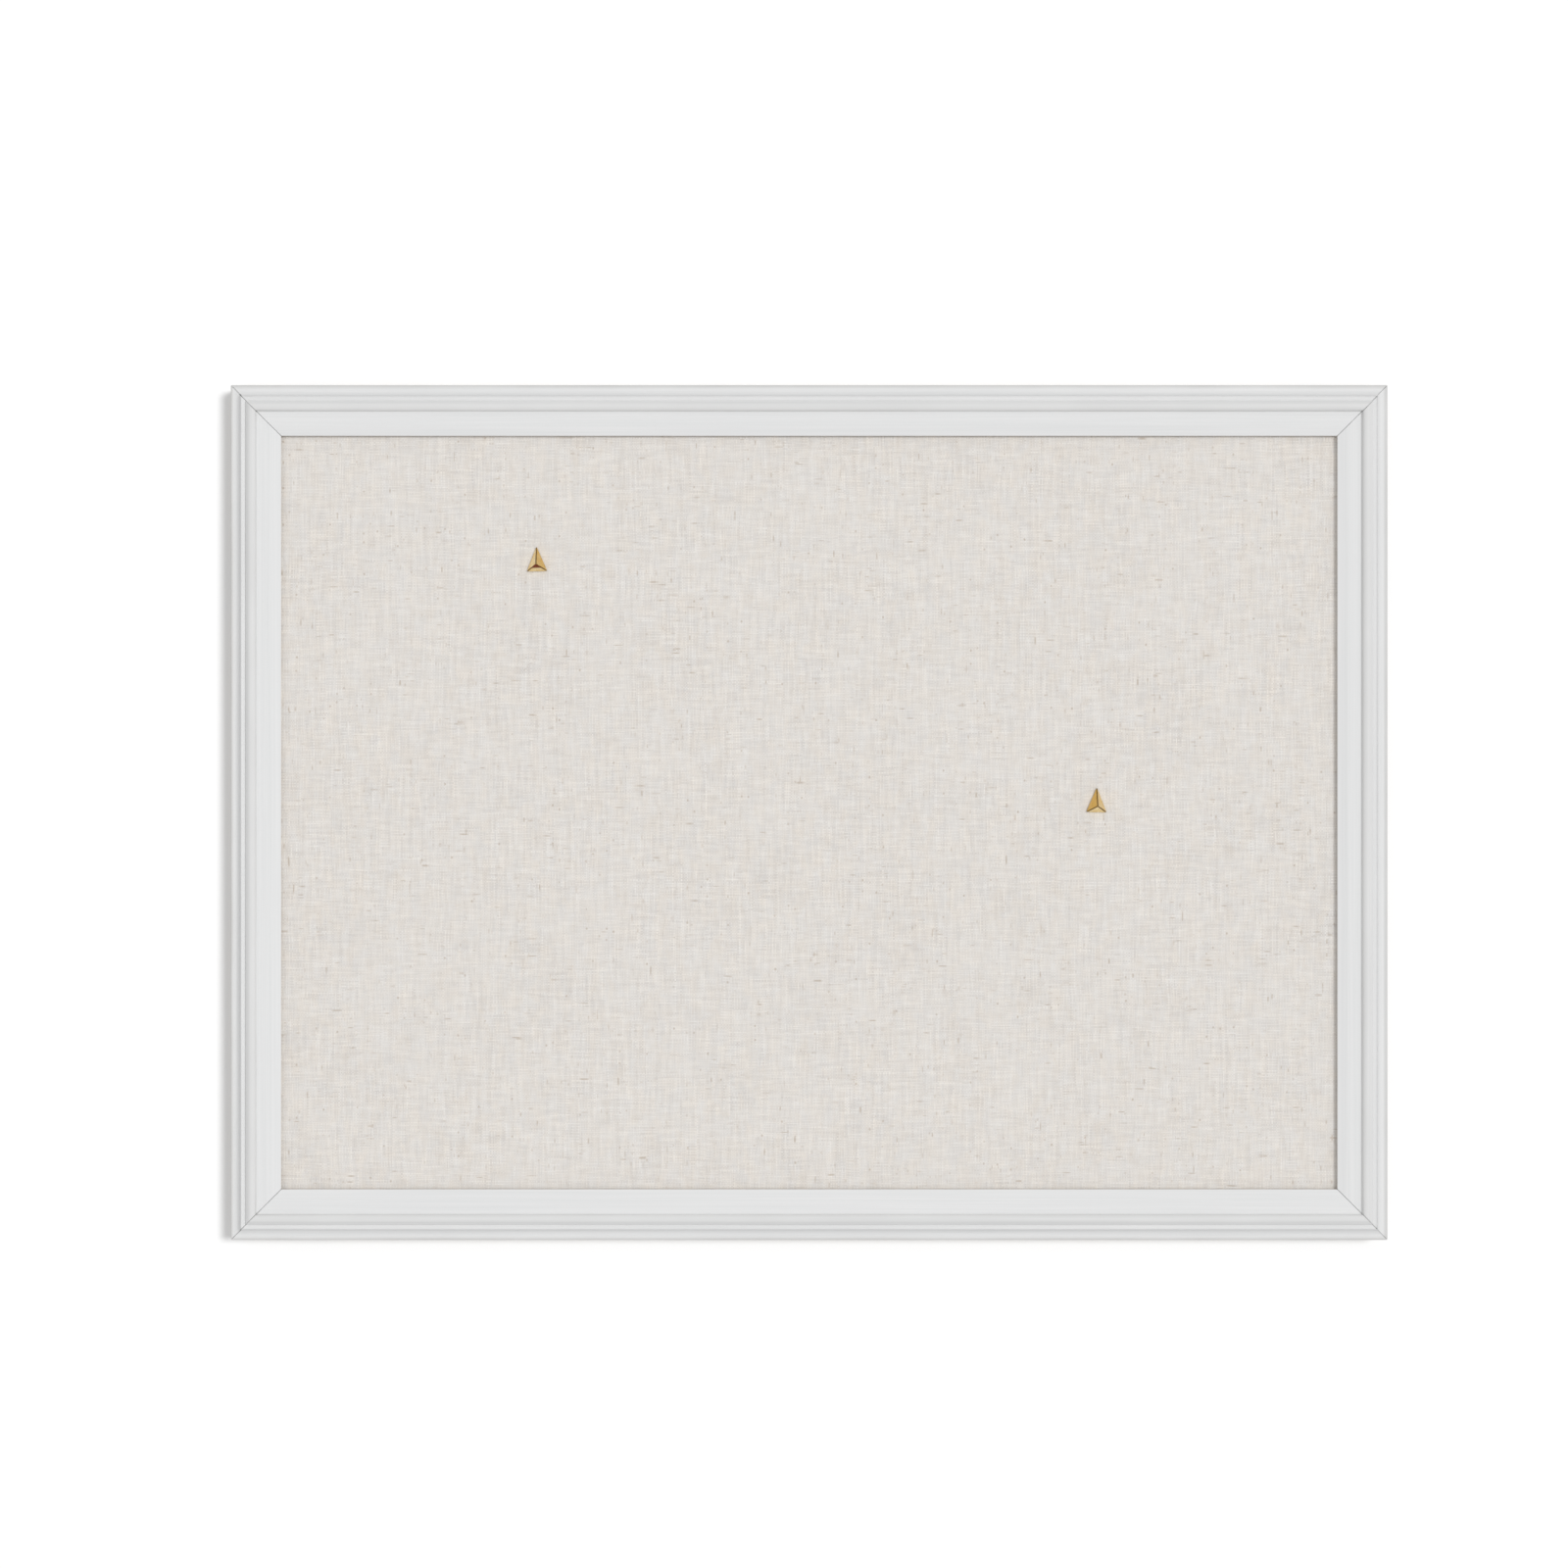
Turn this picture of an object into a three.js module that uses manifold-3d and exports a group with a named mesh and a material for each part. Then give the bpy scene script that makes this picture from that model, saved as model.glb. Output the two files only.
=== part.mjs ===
// A framed linen pinboard with two push pins, hung on a wall. Millimetres.
// X runs to the right, Y into the wall and Z up. The board faces -Y.
// The origin is the middle of the board, on the face of the wall.

import * as THREE from "three";
import { ConvexGeometry } from "three/addons/geometries/ConvexGeometry.js";
import { mergeVertices } from "three/addons/utils/BufferGeometryUtils.js";
import Module from "manifold-3d";

// The whole board, over the outer edges of the frame
const boardWidth = 584.2;
const boardHeight = 431.8;

// Clearances
const fitGap = 0.3; // round everything that is let into a slot, a hole or a bore
const mitreGap = 0.24; // between the two faces of a mitre
const overrun = 1; // how far a cutter reaches past the face that it opens

// The panel, from the back of the frame forwards
const pointInset = 1.2; // wood left behind a framer's point
const pointThickness = 0.5;
const backerThickness = 2.5;
const coverThickness = 0.5;
const coreThickness = 8.5;
const panelGap = 0.3; // between one layer of the panel and the next
const panelPlay = 0.8; // between the edge of the panel and the wall of the rebate
const backerMargin = 1.6; // how much smaller the backer is than the panel, all round
const hemWidth = 28; // linen turned over the back of the core

// The moulding. Widths run inwards from the outer edge, rises run forwards.
const mouldingWidth = 26.7;
const rebateWidth = 6.35;
const arrisRadius = 0.9;
const landWidth = 0.8; // flat beside the rounded arris
const coveWidth = 4.5;
const coveRise = 4.9;
const filletWidth = 3.05;
const filletFall = 0.5; // the fillet leans inwards
const quirkRise = 1.1;
const torusWidth = 2.15; // up to the crest
const torusRise = 2.5;
const crestWidth = 0.3;
const torusFallWidth = 2.2; // from the crest down to the step
const torusFall = 1.4;
const stepRise = 0.9;
const beadWidth = 2.9;
const beadRise = 0.4;
const rollWidth = 6;
const rollRise = 1.2;
const lipThickness = 2.7;

// V nails across the mitres
const nailLeg = 5;
const nailThickness = 0.6;
const nailLength = 10;
const nailFirstInset = 5.2; // from the outer corner to the bend of the outer nail, both ways
const nailSpacing = 7.2;

// Framer's points, which hold the panel in the rebate
const pointWidth = 9;
const pointSeat = 5; // driven into the wall of the rebate
const pointReach = 8; // left standing over the back of the panel
const pointTaper = 3.2; // length of the sharpened end
const pointTip = 0.8; // width that is left at the sharp end
const pointsOnRail = 4;
const pointsOnStile = 2;

// Strap hangers with D rings
const hangerDrop = 96; // from the top of the board down to the axis of the ring
const strapSheet = 0.6;
const strapWidth = 9.5;
const strapLength = 18; // from the axis of the ring to the round end
const ringWire = 2;
const ringBore = 0.2; // play of the wire in the barrel, all round
const ringSidePlay = 0.4; // between a leg of the ring and the end of the barrel
const ringLeg = 4; // straight part of each leg
const ringBend = 1.2; // radius of the two bends beside the barrel
const ringButt = 0.4; // where the two ends of the wire meet, inside the barrel
const screwShank = 3;
const screwLength = 12;
const screwHeadWidth = 6.4;
const screwHeadHeight = 1.8;
const screwSlotWidth = 0.9;
const screwSlotLength = 3.8;
const screwSlotDepth = 0.9;
const screwTip = 2.4;

// Rubber bumpers, which stand on the wall
const bumperWidth = 11;
const bumperHeight = 4;
const bumperEdge = 1; // rounding of the rim that meets the wall
const bumperInset = 38; // from the end of the rail to the middle of the bumper

// Push pins
const pinWidth = 10.3;
const pinHeight = 12.5;
const pinProjection = 8;
const pinRim = 0.8;
const pinApexRise = 3.1; // from the lower edge up to the apex
const pinRidge = 0.32; // half of the flat worn along each ridge
const pinStandOff = 0.2; // between the head and the linen
const needleWidth = 1.2;
const needleReach = 8; // out of the back of the head
const needleSeat = 3; // inside the head
const needleTip = 2.6;
// Where the two pins stand, from the middle of the board, and how far each is turned
const pinAcrossShares = [-0.235, 0.248]; // of the board's width
const pinUpShares = [0.2914, 0.01]; // of its height
const pinTurns = [-1.4, 1]; // degrees

// How finely the curves are cut
const mouldingSteps = 8;
const roundSteps = 24;
const wireSides = 10;
const ringSteps = 44;
const edgeSteps = 3;

// Heights above the back of the frame
const pointFront = pointInset + pointThickness;
const backerBack = pointFront + panelGap;
const backerFront = backerBack + backerThickness;
const coverBack = backerFront + panelGap;
const coreBack = coverBack + coverThickness + panelGap;
const coreFront = coreBack + coreThickness;
const coverFront = coreFront + panelGap + coverThickness;
const rebateDepth = coverFront + panelGap;
const lipFront = rebateDepth + lipThickness;
const flatFront = lipFront + rollRise;
const beadFront = flatFront + beadRise;
const stepFront = beadFront + stepRise;
const crestFront = stepFront + torusFall;
const torusFoot = crestFront - torusRise;
const quirkFoot = torusFoot - quirkRise;
const filletFront = quirkFoot + filletFall;
const edgeFront = filletFront - coveRise;

// Insets from the outer edge of the frame
const coveStart = arrisRadius + landWidth;
const filletEnd = coveStart + coveWidth + filletWidth;
const crestStart = filletEnd + torusWidth;
const crestEnd = crestStart + crestWidth;
const stepInset = crestEnd + torusFallWidth;
const rollStart = mouldingWidth - rollWidth;
const rebateWall = mouldingWidth - rebateWidth;
const backMiddle = rebateWall / 2;

// Sizes of the panel
const coverWidth = boardWidth - 2 * (rebateWall + panelPlay);
const coverHeight = boardHeight - 2 * (rebateWall + panelPlay);
const coverTurn = coverThickness + panelGap; // from the face of the linen to the core
const coreWidth = coverWidth - 2 * coverTurn;
const coreHeight = coverHeight - 2 * coverTurn;

// The two pins in their places
const pins = ["left", "right"].map((name, i) => ({
  name,
  x: pinAcrossShares[i] * boardWidth,
  z: pinUpShares[i] * boardHeight,
  turn: THREE.MathUtils.degToRad(pinTurns[i]),
}));

// Sizes of the hangers
const wireRadius = ringWire / 2;
const barrelBore = wireRadius + ringBore;
const barrelRadius = barrelBore + strapSheet;
const strapThickness = 2 * strapSheet; // the strap is folded round the ring
const ringHalfWidth = strapWidth / 2 + ringSidePlay + wireRadius;
const ringReach = ringLeg + ringHalfWidth;
const ringLean = Math.asin((barrelRadius - wireRadius - fitGap) / ringReach);
const strapHole = strapLength - strapWidth / 2;

const wasm = await Module();
wasm.setup();

// A closed geometry as a solid that can be joined and cut
function solidOf(geometry) {
  const bare = geometry.clone();
  bare.deleteAttribute("normal");
  bare.deleteAttribute("uv");
  const welded = mergeVertices(bare);
  return new wasm.Manifold(
    new wasm.Mesh({
      numProp: 3,
      vertProperties: welded.attributes.position.array,
      triVerts: Uint32Array.from(welded.index.array),
    }),
  );
}

function geometryOf(solid) {
  const mesh = solid.getMesh();
  const geometry = new THREE.BufferGeometry();
  geometry.setAttribute("position", new THREE.BufferAttribute(mesh.vertProperties, mesh.numProp));
  geometry.setIndex(Array.from(mesh.triVerts));
  geometry.computeVertexNormals();
  return geometry;
}

// The geometry with every cutter taken out of it
function cut(geometry, cutters) {
  const whole = solidOf(geometry);
  const left = cutters.reduce((solid, cutter) => solid.subtract(solidOf(cutter)), whole);
  return geometryOf(left);
}

// A plan drawn in X and Z, given a thickness forwards from the height "back"
function plate(plan, back, thickness, curveSegments = edgeSteps) {
  const geometry = new THREE.ExtrudeGeometry(plan, {
    depth: thickness,
    bevelEnabled: false,
    curveSegments,
  });
  return geometry.rotateX(Math.PI / 2).translate(0, -back, 0);
}

// A box between two heights above the back of the frame
function slab(width, height, back, front) {
  return new THREE.BoxGeometry(width, front - back, height).translate(0, -(back + front) / 2, 0);
}

// A round hole or pin along Y, between two heights above the back of the frame
function rod(radius, back, front) {
  const length = front - back;
  const geometry = new THREE.CylinderGeometry(radius, radius, length, roundSteps);
  return geometry.translate(0, -(back + front) / 2, 0);
}

function named(name, geometry, material) {
  const mesh = new THREE.Mesh(geometry, material());
  mesh.name = name;
  return mesh;
}

// Materials
const finish = (color, roughness, metalness = 0) => () =>
  new THREE.MeshStandardMaterial({ color, roughness, metalness });
const whitePaint = finish("#e5e5e4", 0.45);
const linen = finish("#dedad4", 0.95);
const softboard = finish("#b39d7c", 0.95);
const hardboard = finish("#6f5138", 0.7);
const plainSteel = finish("#a9abad", 0.35, 1);
const platedSteel = finish("#c3c4c3", 0.3, 1);
const gold = finish("#d9a850", 0.25, 1);
const rubber = finish("#2c2b2a", 0.85);

// The section of the moulding: X is the inset from the outer edge, Y the height above the back
function mouldingSection() {
  const section = new THREE.Shape();
  section.moveTo(0, 0);
  section.lineTo(0, edgeFront - arrisRadius);
  section.absarc(arrisRadius, edgeFront - arrisRadius, arrisRadius, Math.PI, Math.PI / 2, true);
  section.lineTo(coveStart, edgeFront);
  section.absellipse(coveStart, filletFront, coveWidth, coveRise, -Math.PI / 2, 0, false);
  section.lineTo(filletEnd, quirkFoot);
  section.lineTo(filletEnd, torusFoot);
  section.absellipse(crestStart, torusFoot, torusWidth, torusRise, Math.PI, Math.PI / 2, true);
  section.lineTo(crestEnd, crestFront);
  section.absellipse(crestEnd, stepFront, torusFallWidth, torusFall, Math.PI / 2, 0, true);
  section.lineTo(stepInset, beadFront);
  section.absellipse(stepInset, flatFront, beadWidth, beadRise, Math.PI / 2, 0, true);
  section.lineTo(rollStart, flatFront);
  section.absellipse(rollStart, lipFront, rollWidth, rollRise, Math.PI / 2, 0, true);
  section.lineTo(mouldingWidth, rebateDepth);
  section.lineTo(rebateWall, rebateDepth);
  section.lineTo(rebateWall, 0);
  section.closePath();
  return section;
}

// A length of moulding with its outer edge along X at Z = 0. Every line of the section is
// shorter than the outer edge by its inset at each end, which makes the two mitres.
function mitredLength(length) {
  const geometry = new THREE.ExtrudeGeometry(mouldingSection(), {
    depth: 1,
    bevelEnabled: false,
    curveSegments: mouldingSteps,
  });
  const corners = geometry.attributes.position;
  const trim = mitreGap * Math.SQRT2;
  for (let i = 0; i < corners.count; i += 1) {
    const inset = corners.getX(i);
    const height = corners.getY(i);
    const end = 1 / 2 - corners.getZ(i);
    corners.setXYZ(i, end * (length - 2 * inset - trim), -height, -inset);
  }
  return geometry;
}

// The plan of a V nail, bent at the origin, with one leg to each side of the diagonal that
// runs towards -X and -Z. The margin makes it the plan of the slot instead.
function nailPlan(margin) {
  const leg = nailLeg + margin;
  const half = nailThickness / 2 + margin;
  const plan = new THREE.Shape();
  plan.moveTo(half, half);
  plan.lineTo(-leg, half);
  plan.lineTo(-leg, -half);
  plan.lineTo(-half, -half);
  plan.lineTo(-half, -leg);
  plan.lineTo(half, -leg);
  plan.closePath();
  return plan;
}

const nailInsets = [nailFirstInset, nailFirstInset + nailSpacing];

function nail() {
  return plate(nailPlan(0), 0, nailLength);
}

// The slots of the V nails in both ends of a length of moulding
function nailSlots(length) {
  return nailInsets.flatMap((inset) => {
    const depth = nailLength + fitGap + overrun;
    const right = plate(nailPlan(fitGap), -overrun, depth);
    const left = right.clone().rotateY(-Math.PI / 2);
    right.translate(length / 2 - inset, 0, -inset);
    left.translate(inset - length / 2, 0, -inset);
    return [right, left];
  });
}

// The plan of a framer's point: the sharp end goes outwards, along +Z
function pointPlan(margin) {
  const half = pointWidth / 2 + margin;
  const tip = pointTip / 2 + margin;
  const shoulder = pointSeat - pointTaper;
  const plan = new THREE.Shape();
  plan.moveTo(-half, -pointReach - margin);
  plan.lineTo(half, -pointReach - margin);
  plan.lineTo(half, shoulder);
  plan.lineTo(tip, pointSeat + margin);
  plan.lineTo(-tip, pointSeat + margin);
  plan.lineTo(-half, shoulder);
  plan.closePath();
  return plan;
}

// Places along a side of the panel, evenly spread with half a space at each end
function spread(length, count) {
  return Array.from({ length: count }, (_, i) => ((i + 1 / 2) / count - 1 / 2) * length);
}

function framersPoint() {
  return plate(pointPlan(0), pointInset, pointThickness);
}

function pointSlots(places) {
  return places.map((along) => {
    const slot = plate(pointPlan(fitGap), pointInset - fitGap, pointThickness + 2 * fitGap);
    return slot.translate(along, 0, -rebateWall);
  });
}

// The four sides of the frame. Each is made along the top and turned to its place.
const sides = [
  { name: "top", node: "rail_top", turn: 0, length: boardWidth, out: boardHeight / 2 },
  { name: "right", node: "stile_right", turn: 1, length: boardHeight, out: boardWidth / 2 },
  { name: "bottom", node: "rail_bottom", turn: 2, length: boardWidth, out: boardHeight / 2 },
  { name: "left", node: "stile_left", turn: 3, length: boardHeight, out: boardWidth / 2 },
];

// Where the hanger's screw goes, along a stile, measured up from the middle
const hangerHeight = boardHeight / 2 - hangerDrop;
const screwHeight = hangerHeight - strapHole;

function frameSide({ name, node, turn, length, out }) {
  const upright = turn % 2 === 1;
  const pointCount = upright ? pointsOnStile : pointsOnRail;
  const places = spread(length - 2 * mouldingWidth, pointCount);
  const cutters = [...nailSlots(length), ...pointSlots(places)];
  if (upright) {
    const along = name === "left" ? screwHeight : -screwHeight;
    const hole = rod(screwShank / 2 + fitGap, -overrun, screwLength + fitGap);
    cutters.push(hole.translate(along, 0, -backMiddle));
  }
  const group = new THREE.Group();
  const wood = named(node, cut(mitredLength(length), cutters), whitePaint);
  wood.position.z = out;
  group.add(wood);
  places.forEach((along, i) => {
    const point = named(`point_${name}_${i + 1}`, framersPoint(), plainSteel);
    point.position.set(along, 0, out - rebateWall);
    group.add(point);
  });
  group.rotation.y = (turn * Math.PI) / 2;
  return group;
}

// The four corners: their signs in X and Z, and the quarter turns from the top right
const corners = [
  { name: "top_right", right: 1, up: 1, turn: 0 },
  { name: "bottom_right", right: 1, up: -1, turn: 1 },
  { name: "bottom_left", right: -1, up: -1, turn: 2 },
  { name: "top_left", right: -1, up: 1, turn: 3 },
];

function cornerNails({ name, right, up, turn }) {
  return nailInsets.map((inset, i) => {
    const which = i === 0 ? "outer" : "inner";
    const mesh = named(`v_nail_${name}_${which}`, nail(), plainSteel);
    mesh.position.set(right * (boardWidth / 2 - inset), 0, up * (boardHeight / 2 - inset));
    mesh.rotation.y = (turn * Math.PI) / 2;
    return mesh;
  });
}

// A bumper turned about Y, from the back of the frame to the wall
function bumper() {
  const radius = bumperWidth / 2;
  const outline = new THREE.Path();
  outline.moveTo(0, 0);
  outline.lineTo(radius, 0);
  outline.lineTo(radius, bumperHeight - bumperEdge);
  outline.absarc(radius - bumperEdge, bumperHeight - bumperEdge, bumperEdge, 0, Math.PI / 2, false);
  outline.lineTo(0, bumperHeight);
  return new THREE.LatheGeometry(outline.getPoints(edgeSteps), roundSteps);
}

function cornerBumper({ name, right, up }) {
  const mesh = named(`bumper_${name}`, bumper(), rubber);
  const along = boardWidth / 2 - bumperInset;
  mesh.position.set(right * along, 0, up * (boardHeight / 2 - backMiddle));
  return mesh;
}

// The panel: backer, core and the linen that is wrapped round the core
function backerBoard() {
  const margins = 2 * backerMargin;
  return slab(coverWidth - margins, coverHeight - margins, backerBack, backerFront);
}

function needleHoles(front, back) {
  return pins.map(({ x, z }) => rod(needleWidth / 2 + fitGap, back, front).translate(x, 0, z));
}

const needleEnd = coverFront + pinStandOff - needleReach; // height of the sharp end

function coreBoard() {
  const board = slab(coreWidth, coreHeight, coreBack, coreFront);
  return cut(board, needleHoles(coreFront + overrun, needleEnd - fitGap));
}

function linenCover() {
  const block = slab(coverWidth, coverHeight, coverBack, coverFront);
  const hollowBack = coverBack + coverThickness;
  const hollowFront = coverFront - coverThickness;
  const edge = 2 * coverThickness;
  const hollow = slab(coverWidth - edge, coverHeight - edge, hollowBack, hollowFront);
  const hem = 2 * hemWidth;
  const window = slab(coverWidth - hem, coverHeight - hem, coverBack - overrun, coreBack);
  const holes = needleHoles(coverFront + overrun, coreFront);
  return cut(block, [hollow, window, ...holes]);
}

// The strap is a strip folded round the ring's wire, with both leaves flat on the frame.
// Side view: X is the distance from the frame, Y runs up, with the barrel at Y = 0.
function strapSection() {
  const meet = Math.acos((strapThickness - barrelRadius) / barrelRadius);
  const section = new THREE.Shape();
  section.moveTo(strapThickness, -strapLength);
  section.absarc(barrelRadius, 0, barrelRadius, -meet, Math.PI, false);
  section.lineTo(0, -strapLength);
  section.closePath();
  const bore = new THREE.Path();
  bore.absarc(barrelRadius, 0, barrelBore, 0, 2 * Math.PI, true);
  section.holes.push(bore);
  return section;
}

// The plan that the folded strip is trimmed to: square at the barrel, round at the far end
function strapPlan() {
  const half = strapWidth / 2;
  const plan = new THREE.Shape();
  plan.moveTo(half, barrelRadius + overrun);
  plan.lineTo(-half, barrelRadius + overrun);
  plan.lineTo(-half, -strapHole);
  plan.absarc(0, -strapHole, half, Math.PI, 2 * Math.PI, false);
  plan.closePath();
  return plan;
}

function hangerStrap() {
  const blankWidth = strapWidth + 2 * overrun;
  const blank = new THREE.ExtrudeGeometry(strapSection(), {
    depth: blankWidth,
    bevelEnabled: false,
    curveSegments: roundSteps / 2,
  });
  // The side view's X becomes Y, its Y becomes Z, and its thickness runs along X
  blank.rotateX(Math.PI / 2).rotateZ(Math.PI / 2).translate(-blankWidth / 2, 0, 0);
  const thick = 2 * barrelRadius + 2 * overrun;
  const trim = plate(strapPlan(), -(2 * barrelRadius + overrun), thick, roundSteps / 2);
  const hole = rod(screwShank / 2 + fitGap, -strapThickness - overrun, overrun);
  hole.translate(0, 0, -strapHole);
  return geometryOf(solidOf(blank).intersect(solidOf(trim)).subtract(solidOf(hole)));
}

// The centre line of a D ring, from one butt end in the barrel round to the other
class RingLine extends THREE.Curve {
  constructor() {
    super();
    const side = ringHalfWidth;
    this.outline = new THREE.Path();
    this.outline.moveTo(ringButt / 2, 0);
    this.outline.lineTo(side - ringBend, 0);
    this.outline.absarc(side - ringBend, ringBend, ringBend, -Math.PI / 2, 0, false);
    this.outline.lineTo(side, ringLeg);
    this.outline.absarc(0, ringLeg, side, 0, Math.PI, false);
    this.outline.lineTo(-side, ringBend);
    this.outline.absarc(ringBend - side, ringBend, ringBend, Math.PI, Math.PI * 1.5, false);
    this.outline.lineTo(-ringButt / 2, 0);
  }

  getPoint(share, target = new THREE.Vector3()) {
    const { x, y } = this.outline.getPointAt(share);
    return target.set(x, 0, y);
  }
}

function hangerRing() {
  const wire = new THREE.Shape();
  wire.absarc(0, 0, wireRadius, 0, 2 * Math.PI, false);
  return new THREE.ExtrudeGeometry(wire, {
    steps: ringSteps,
    curveSegments: wireSides / 2, // an arc gets two for each
    bevelEnabled: false,
    extrudePath: new RingLine(),
  });
}

// A pan-head screw turned about Y, with its head on the strap and its tip forwards
function hangerScrew() {
  const headRadius = screwHeadWidth / 2;
  const shankRadius = screwShank / 2;
  const outline = new THREE.Path();
  outline.moveTo(0, -screwLength);
  outline.lineTo(shankRadius, screwTip - screwLength);
  outline.lineTo(shankRadius, strapThickness);
  outline.lineTo(headRadius, strapThickness);
  outline.absellipse(0, strapThickness, headRadius, screwHeadHeight, 0, Math.PI / 2, false);
  const turned = new THREE.LatheGeometry(outline.getPoints(edgeSteps), roundSteps);
  const top = strapThickness + screwHeadHeight;
  const slots = [0, Math.PI / 2].map((turn) => {
    const slot = slab(screwSlotLength, screwSlotWidth, -top - overrun, screwSlotDepth - top);
    return slot.rotateY(turn);
  });
  return cut(turned, slots);
}

function hanger(name, right) {
  const group = new THREE.Group();
  const ring = named(`hanger_ring_${name}`, hangerRing(), platedSteel);
  const strap = named(`hanger_strap_${name}`, hangerStrap(), platedSteel);
  const screw = named(`hanger_screw_${name}`, hangerScrew(), platedSteel);
  ring.position.y = barrelRadius;
  ring.rotation.x = ringLean;
  screw.position.z = -strapHole;
  group.add(strap, ring, screw);
  group.position.set(right * (boardWidth / 2 - backMiddle), 0, hangerHeight);
  return group;
}

// One sloping face of the pin's head, drawn in from its two ridges: the corner that is left
// at the apex, and the two that are left on the base
function insetFace(apex, first, second) {
  const toFirst = first.clone().sub(apex);
  const toSecond = second.clone().sub(apex);
  const along = second.clone().sub(first).normalize();
  const peak = toFirst.angleTo(toSecond);
  const middle = toFirst.clone().normalize().add(toSecond.clone().normalize()).normalize();
  const top = apex.clone().addScaledVector(middle, pinRidge / Math.sin(peak / 2));
  const firstStep = pinRidge / Math.sin(toFirst.angleTo(along));
  const secondStep = pinRidge / Math.sin(toSecond.angleTo(along));
  return {
    top,
    foot: [
      first.clone().addScaledVector(along, firstStep),
      second.clone().addScaledVector(along, -secondStep),
    ],
  };
}

// The head: a three-sided pyramid with a flat along each ridge, on a thin rim. The needle's
// axis is its Y axis, and its back lies at Y = 0.
function pinHead() {
  const low = -pinHeight / 3;
  const high = low + pinHeight;
  const base = [
    new THREE.Vector3(0, -pinRim, high),
    new THREE.Vector3(-pinWidth / 2, -pinRim, low),
    new THREE.Vector3(pinWidth / 2, -pinRim, low),
  ];
  const apex = new THREE.Vector3(0, -pinProjection, low + pinApexRise);
  const faces = base.map((corner, i) => insetFace(apex, corner, base[(i + 1) % base.length]));
  const feet = faces.flatMap(({ foot }) => foot);
  const back = feet.map((foot) => foot.clone().setY(0));
  const points = [...faces.map(({ top }) => top), ...feet, ...back];
  const bore = rod(needleWidth / 2 + fitGap, -overrun, needleSeat + fitGap);
  return cut(new ConvexGeometry(points), [bore]);
}

function pinNeedle() {
  const radius = needleWidth / 2;
  const outline = [
    new THREE.Vector2(0, -needleSeat),
    new THREE.Vector2(radius, -needleSeat),
    new THREE.Vector2(radius, needleReach - needleTip),
    new THREE.Vector2(0, needleReach),
  ];
  return new THREE.LatheGeometry(outline, roundSteps / 2);
}

function pushPin({ name, x, z, turn }) {
  const group = new THREE.Group();
  group.add(named(`pin_head_${name}`, pinHead(), gold));
  group.add(named(`pin_needle_${name}`, pinNeedle(), plainSteel));
  group.position.set(x, -(coverFront + pinStandOff), z);
  group.rotation.y = turn;
  return group;
}

// The board stands off the wall by the height of its bumpers
const board = new THREE.Group();
board.position.y = -bumperHeight;
board.add(...sides.map(frameSide));
board.add(...corners.flatMap(cornerNails));
board.add(...corners.map(cornerBumper));
board.add(named("backer_board", backerBoard(), hardboard));
board.add(named("core_board", coreBoard(), softboard));
board.add(named("linen_cover", linenCover(), linen));
board.add(hanger("left", -1), hanger("right", 1));
board.add(...pins.map(pushPin));

const pinboard = new THREE.Group();
pinboard.add(board);

export default pinboard;
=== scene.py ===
# A framed linen pinboard with two gold push pins, hung on a wall.
# Metres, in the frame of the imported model: X to the right, Y into the wall, Z up.

import math

import bmesh
import bpy
from mathutils import Matrix, Vector, noise


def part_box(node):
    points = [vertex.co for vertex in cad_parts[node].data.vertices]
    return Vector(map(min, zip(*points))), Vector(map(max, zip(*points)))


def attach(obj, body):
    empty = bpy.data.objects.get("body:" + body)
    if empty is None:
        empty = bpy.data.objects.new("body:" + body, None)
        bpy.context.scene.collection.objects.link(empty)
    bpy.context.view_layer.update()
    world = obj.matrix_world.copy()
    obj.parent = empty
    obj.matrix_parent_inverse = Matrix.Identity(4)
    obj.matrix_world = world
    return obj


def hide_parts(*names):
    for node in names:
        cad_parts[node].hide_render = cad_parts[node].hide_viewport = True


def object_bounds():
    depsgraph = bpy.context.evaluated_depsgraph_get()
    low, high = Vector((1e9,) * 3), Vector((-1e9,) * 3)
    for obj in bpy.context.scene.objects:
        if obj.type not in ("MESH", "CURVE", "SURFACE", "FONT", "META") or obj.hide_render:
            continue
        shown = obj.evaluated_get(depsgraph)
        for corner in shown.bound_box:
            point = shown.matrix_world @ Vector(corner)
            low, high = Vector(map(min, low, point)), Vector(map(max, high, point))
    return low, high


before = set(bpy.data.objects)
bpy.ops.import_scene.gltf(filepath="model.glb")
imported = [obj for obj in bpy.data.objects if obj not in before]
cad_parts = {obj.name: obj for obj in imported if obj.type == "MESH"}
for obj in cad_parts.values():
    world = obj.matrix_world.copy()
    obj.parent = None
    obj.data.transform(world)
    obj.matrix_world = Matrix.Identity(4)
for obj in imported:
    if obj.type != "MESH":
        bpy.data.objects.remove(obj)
cad_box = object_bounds()

MM = 0.001

# The board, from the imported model
rail_low, rail_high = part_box("rail_top")
HALF_HEIGHT = rail_high.z
HALF_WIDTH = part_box("stile_right")[1].x
FRAME_BACK = rail_high.y
MOULDING_WIDTH = rail_high.z - rail_low.z
CREST = rail_high.y - rail_low.y

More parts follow.
